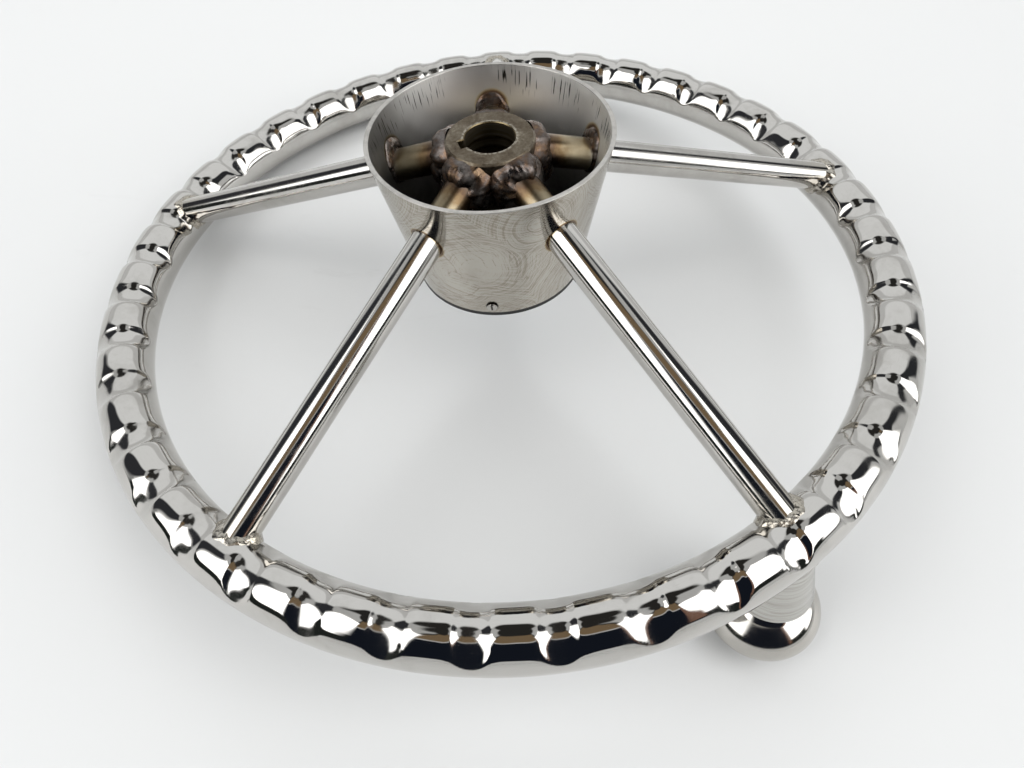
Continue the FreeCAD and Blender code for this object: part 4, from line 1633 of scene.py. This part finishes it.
@dataclass(frozen=True)
class SpinnerKnob:
    """The flattened ball knob and the flared spindle that it turns on."""

    sizes: WheelSizes
    axis: Vector
    face: float
    end: float
    radius: float
    half_height: float = 13.7 * MM
    shoulder: float = math.radians(52.5)
    face_radius: float = 8.5 * MM
    end_radius: float = 9.5 * MM
    recess_radius: float = 6.5 * MM
    recess: float = 1.5 * MM
    bush_radius: float = 6.05 * MM
    pocket_radius: float = 7.2 * MM
    pocket: float = 8.0 * MM
    neck_radius: float = 10.5 * MM
    collar_radius: float = 15.1 * MM
    pin_radius: float = 5.0 * MM
    play: float = 0.3 * MM
    edge: float = 0.4 * MM
    segments: int = 160
    ball_steps: int = 44

    @classmethod
    def from_frame(cls, sizes: WheelSizes) -> "SpinnerKnob":
        """Reads the knob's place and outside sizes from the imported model.

        Args:
            sizes: The wheel's sizes.

        Returns:
            The knob.
        """
        low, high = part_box("knob_body")
        middle = (low + high) / 2
        return cls(sizes, Vector((middle.x, middle.y, 0.0)), high.z, low.z, (high.x - low.x) / 2)

    @property
    def collar_end(self) -> float:
        """The height of the collar's wide end."""
        return self.face + self.play

    def collar_at(self, height: float) -> float:
        """The collar's radius at a height, which grows from the rim towards the knob.

        Args:
            height: The height in the model.

        Returns:
            The radius.
        """
        under = self.sizes.rim_height - self.sizes.tube_radius
        share = (under - height) / (under - self.collar_end)
        return self.neck_radius + share * (self.collar_radius - self.neck_radius)

    def _profile(self) -> tuple[Outline, list[int]]:
        """Draws the knob's section.

        Returns:
            The section, and the finish of each of its sides.
        """
        low = -math.acos(self.end_radius / self.radius)
        middle = self.end - self.half_height * math.sin(low)
        turns = [low + (self.shoulder - low) * i / self.ball_steps for i in range(self.ball_steps + 1)]
        ball = [(self.radius * math.cos(turn), middle + self.half_height * math.sin(turn)) for turn in turns]
        seat = self.end + self.pocket
        section = ball + [
            (self.face_radius, self.face),
            (self.recess_radius, self.face),
            (self.recess_radius, self.face - self.recess),
            (self.bush_radius, self.face - self.recess),
            (self.bush_radius, seat),
            (self.pocket_radius, seat),
            (self.pocket_radius, self.end),
        ]
        eased = rounded(section, {0: self.edge, len(ball): self.edge})
        outside = len(ball) + 2 * ROUND_STEPS
        return eased, [0] * outside + [1] * (len(eased) - outside)

    def build(self, ball: MirrorSteel, collar: TurnedSteel) -> list[Piece]:
        """Builds and dresses the ball and the spindle.

        Args:
            ball: The finish of the ball.
            collar: The finish of the spindle and of the turned faces.

        Returns:
            The ball and the spindle.
        """
        turned = collar.material()
        profile, slots = self._profile()
        knob = lathe("knob_ball", profile, self.axis, self.segments, slots)
        finished(knob, KNOB, "knob_body", Slot.POLISHED, ball.material(self.sizes), turned)
        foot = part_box("knob_spindle")[0].z
        inside_rim = self.sizes.rim_height
        corners = [
            (self.collar_at(inside_rim), inside_rim),
            (self.collar_radius, self.collar_end),
            (self.pin_radius, self.collar_end),
            (self.pin_radius, foot),
            (AT_AXIS, foot),
            (AT_AXIS, inside_rim),
        ]
        section = rounded(corners, {1: self.edge, 3: self.edge})
        spindle = lathe("spindle_turning", section, self.axis, self.segments)
        return [knob, finished(spindle, WHEEL, "knob_spindle", Slot.POLISHED, turned)]


@dataclass(frozen=True)
class SmallParts:
    """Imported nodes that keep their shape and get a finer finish."""

    nodes: tuple[str, ...]

    def dress(self, frame: dict, material: Material) -> list[Piece]:
        """Gives the nodes a material.

        Args:
            material: Their material.

        Returns:
            The nodes.
        """
        out = [frame["nodes"][name] for name in self.nodes]
        for item in out:
            item.data.materials.clear()
            item.data.materials.append(material)
        return out


@dataclass(frozen=True)
class Zone:
    """A soft-edged patch of the studio's surroundings, by direction, in degrees."""

    azimuth: float
    half_width: float
    low: float
    high: float
    colour: Colour
    side_soft: float = 6.0
    edge_soft: float = 2.0

    def mask(self, w: Wiring, azimuth: Socket, height: Socket) -> Socket:
        """How much of the patch lies in a direction.

        Args:
            w: The surroundings' wiring.
            azimuth: The direction's azimuth.
            height: Its height above the horizon.

        Returns:
            The share from 0 to 1.
        """
        turn = w.maths("ABSOLUTE", w.maths("WRAP", w.minus(azimuth, self.azimuth), 180.0, -180.0))
        side = w.span(turn, self.half_width - self.side_soft, self.half_width, 1.0, 0.0)
        above = w.span(height, self.low, self.low + self.edge_soft)
        below = w.span(height, self.high - self.edge_soft, self.high, 1.0, 0.0)
        return w.times(side, w.times(above, below))


@dataclass(frozen=True)
class Studio:
    """The table, the soft light and the camera."""

    sizes: WheelSizes
    rim_rest_azimuth: float = math.radians(125.5)
    table_size: float = 3.0
    table_cells: int = 8
    table_gap: float = 0.3 * MM
    fill_size: float = 2.4
    fill_power: float = 10.0
    fill_height: float = 1.6
    camera_place: Point = (0.012718, -0.255618, 0.180665)
    camera_forward: Point = (-0.03894, 0.64484, -0.76333)
    camera_right: Point = (0.998, -0.01295, -0.06185)
    lens: float = 28.868
    sensor: float = 36.0
    nearest: float = 0.01
    shift: tuple[float, float] = (0.009046, -0.033646)
    backdrop: Colour = (0.80, 0.805, 0.80)

    def table(self, finish: TableTop, knob: SpinnerKnob) -> Piece:
        """Lays the table under the knob and the far side of the rim.

        Args:
            finish: The table's finish.
            knob: The knob, which the wheel stands on.

        Returns:
            The table.
        """
        s = self.sizes
        rest = polar(s.ring_radius, self.rim_rest_azimuth, s.rim_height - s.tube_radius)
        stand = Vector((knob.axis.x, knob.axis.y, knob.end))
        along = (rest - stand).normalized()
        level = Vector((-along.y, along.x, 0.0)).normalized()
        up = along.cross(level)
        if up.z < 0.0:
            up.negate()
        lowest = stand - Vector((up.x, up.y, 0.0)).normalized() * knob.end_radius
        origin = Vector((0.0, 0.0, (up.dot(lowest) - self.table_gap) / up.z))
        across = up.cross(Vector((0.0, 1.0, 0.0))).normalized() * -1.0
        away = up.cross(across)
        shares = [2 * i / self.table_cells - 1 for i in range(self.table_cells + 1)]
        item = Grid([
            [origin + across * self.table_size * share + away * self.table_size * far for far in shares]
            for share in shares
        ]).build("table_top")
        item.data.materials.append(finish.material())
        return item

    def surroundings(self, zones: Sequence[Zone], base: Colour, strength: float) -> None:
        """Lights the scene from a procedural sky of soft patches, which only the steel sees.

        Args:
            zones: The patches, each laid over those before it.
            base: The colour between them.
            strength: How bright it all is.
        """
        world = bpy.data.worlds.new("soft_studio")
        bpy.context.scene.world = world
        world.use_nodes = True
        w = Wiring(world.node_tree)
        parts = w.parts(w.node("ShaderNodeTexCoord").outputs["Generated"])
        height = w.maths("DEGREES", w.maths("ARCSINE", parts["Z"]))
        azimuth = w.maths("DEGREES", w.maths("ARCTAN2", parts["Y"], parts["X"]))
        colour: object = base
        for zone in zones:
            colour = w.mix(zone.mask(w, azimuth, height), colour, zone.colour)
        seen = w.node("ShaderNodeLightPath").outputs["Is Camera Ray"]
        background = world.node_tree.nodes["Background"]
        w.feed(background.inputs["Color"], w.mix(seen, colour, self.backdrop))
        background.inputs["Strength"].default_value = strength

    def fill(self) -> Piece:
        """Hangs a wide soft light that evens out the table and that polished steel doesn't mirror.

        Returns:
            The light.
        """
        data = bpy.data.lights.new("overhead_fill", "AREA")
        data.shape = "DISK"
        data.size = self.fill_size
        data.energy = self.fill_power
        item = link("overhead_fill", data)
        item.location = (0.0, 0.0, self.fill_height)
        item.visible_glossy = False
        item.visible_camera = False
        return item

    def camera(self) -> Piece:
        """Places the camera where the picture was taken from.

        Returns:
            The camera.
        """
        data = bpy.data.cameras.new("viewpoint")
        data.lens = self.lens
        data.sensor_width = self.sensor
        data.shift_x, data.shift_y = self.shift
        data.clip_start = self.nearest
        item = link("viewpoint", data)
        forward = Vector(self.camera_forward).normalized()
        right = Vector(self.camera_right)
        right = (right - forward * right.dot(forward)).normalized()
        turn = Matrix((right, right.cross(forward), -forward)).transposed()
        item.matrix_world = Matrix.Translation(Vector(self.camera_place)) @ turn.to_4x4()
        bpy.context.scene.camera = item
        return item


WHITE = (3.0, 3.0, 3.0)
ROOM = (0.11, 0.105, 0.095)
SURROUNDINGS = (
    Zone(0.0, 190.0, -91.0, 95.0, (0.72, 0.73, 0.73)),
    Zone(90.0, 80.0, 26.0, 65.0, (1.00, 1.02, 1.03), side_soft=30.0, edge_soft=4.0),
    Zone(90.0, 16.0, -30.0, 16.0, (0.92, 0.95, 0.96), side_soft=4.0, edge_soft=6.0),
    Zone(22.0, 11.0, 0.0, 64.0, (0.035, 0.037, 0.042), edge_soft=8.0),
    Zone(16.0, 18.0, 32.0, 67.0, (0.035, 0.037, 0.042), edge_soft=4.0),
    Zone(161.0, 17.0, 8.0, 72.0, (0.040, 0.042, 0.048), edge_soft=8.0),
    Zone(-90.0, 98.0, -1.0, 26.0, (0.022, 0.026, 0.024), side_soft=10.0, edge_soft=1.5),
    Zone(0.0, 190.0, 64.0, 95.0, (0.030, 0.029, 0.027), edge_soft=3.0),
    Zone(0.0, 48.0, 60.0, 80.0, (0.62, 0.63, 0.63), side_soft=12.0, edge_soft=3.0),
    Zone(180.0, 48.0, 60.0, 80.0, (0.62, 0.63, 0.63), side_soft=12.0, edge_soft=3.0),
    Zone(-155.0, 28.0, 15.0, 69.0, WHITE),
    Zone(-24.5, 29.5, 13.0, 68.0, WHITE),
    Zone(-10.0, 16.0, 3.0, 30.0, WHITE),
    Zone(-90.0, 39.0, 0.0, 56.0, (0.010, 0.013, 0.021), side_soft=5.0),
    Zone(-90.0, 42.0, 56.0, 79.0, (0.24, 0.17, 0.10), side_soft=4.0, edge_soft=3.0),
    Zone(-53.0, 3.0, 3.0, 60.0, (0.26, 0.15, 0.11), side_soft=1.5),
)


def report(*items: Piece) -> None:
    """Logs the pieces that were made."""
    for item in items:
        log.info("%s: %d faces", item.name, len(item.data.polygons))


def main() -> None:
    """Builds every piece of the wheel, then the studio."""
    logging.basicConfig(level=logging.INFO, format="%(message)s")
    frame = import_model()
    sizes = WheelSizes.from_frame()
    studio = Studio(sizes)
    studio.camera()

    bright = (0.555, 0.54, 0.515)
    ring = RimRing(sizes)
    report(ring.build(MirrorSteel("polished_rim", bright, grips=ring.grips)))
    spoke_steel = MirrorSteel("polished_spokes", bright, clean=0.075, dull=0.2, wave=0.00002, joint_heat=True)
    report(*Spokes(sizes).build(spoke_steel))
    report(HubCone(sizes).build(
        SwirlSteel("cone_outside", (0.52, 0.495, 0.445)),
        SatinSteel("cone_inside", (0.56, 0.55, 0.525), rough=0.42),
        SatinSteel("cone_lip", (0.55, 0.53, 0.50), rough=0.28, ticks=False),
    ))
    bore = TurnedSteel("oiled_bore", (0.19, 0.15, 0.085), rough=0.36, rings=700.0)
    report(HubBoss(sizes).build(ScaledSteel("boss_scale", (0.62, 0.58, 0.50)), bore))
    report(CentreCap(sizes).build(MouldedPlastic("cap_plastic", (0.012, 0.012, 0.012))))

    knob = SpinnerKnob.from_frame(sizes)
    centre = tuple(knob.axis)
    ball = MirrorSteel("polished_knob", (0.53, 0.51, 0.475), clean=0.09, dull=0.18, wave=0.00001)
    report(*knob.build(ball, TurnedSteel("turned_collar", (0.55, 0.54, 0.51), rough=0.2, rings=1900.0,
                                         centre=centre)))

    welds = WeldBeads(sizes, ring)
    report(
        welds.boss(WeldSteel("boss_weld", (0.52, 0.50, 0.48), heat=0.74, rough=0.30)),
        welds.wall(WeldSteel("wall_weld", (0.50, 0.47, 0.44), heat=0.78, rough=0.28)),
        welds.rim(WeldSteel("rim_weld", (0.50, 0.485, 0.46), heat=0.08, rough=0.2)),
        welds.collar(WeldSteel("collar_weld", (0.60, 0.58, 0.55), heat=0.05, rough=0.14), knob.axis),
    )

    for number, (seat, out) in enumerate(sizes.screw_seats(), start=1):
        head = SlottedSteel(f"screw_steel_{number}", (0.60, 0.58, 0.54)).material(seat, out)
        report(*SmallParts((f"cap_screw_{number}",)).dress(frame, head))
    fixing = TurnedSteel("fixing_steel", (0.58, 0.56, 0.53), rings=2400.0, centre=centre)
    report(*SmallParts(("knob_washer", "knob_screw")).dress(frame, fixing.material()))
    bronze = TurnedSteel("bush_bronze", (0.55, 0.33, 0.14), rings=2400.0, centre=centre)
    report(*SmallParts(("knob_bush",)).dress(frame, bronze.material()))

    studio.table(TableTop("white_table", (0.72, 0.73, 0.73)), knob)
    studio.surroundings(SURROUNDINGS, ROOM, strength=1.0)
    studio.fill()
    bpy.context.scene.view_settings.view_transform = "Standard"
    log.info("boxes written")


if __name__ == "__main__":
    main()
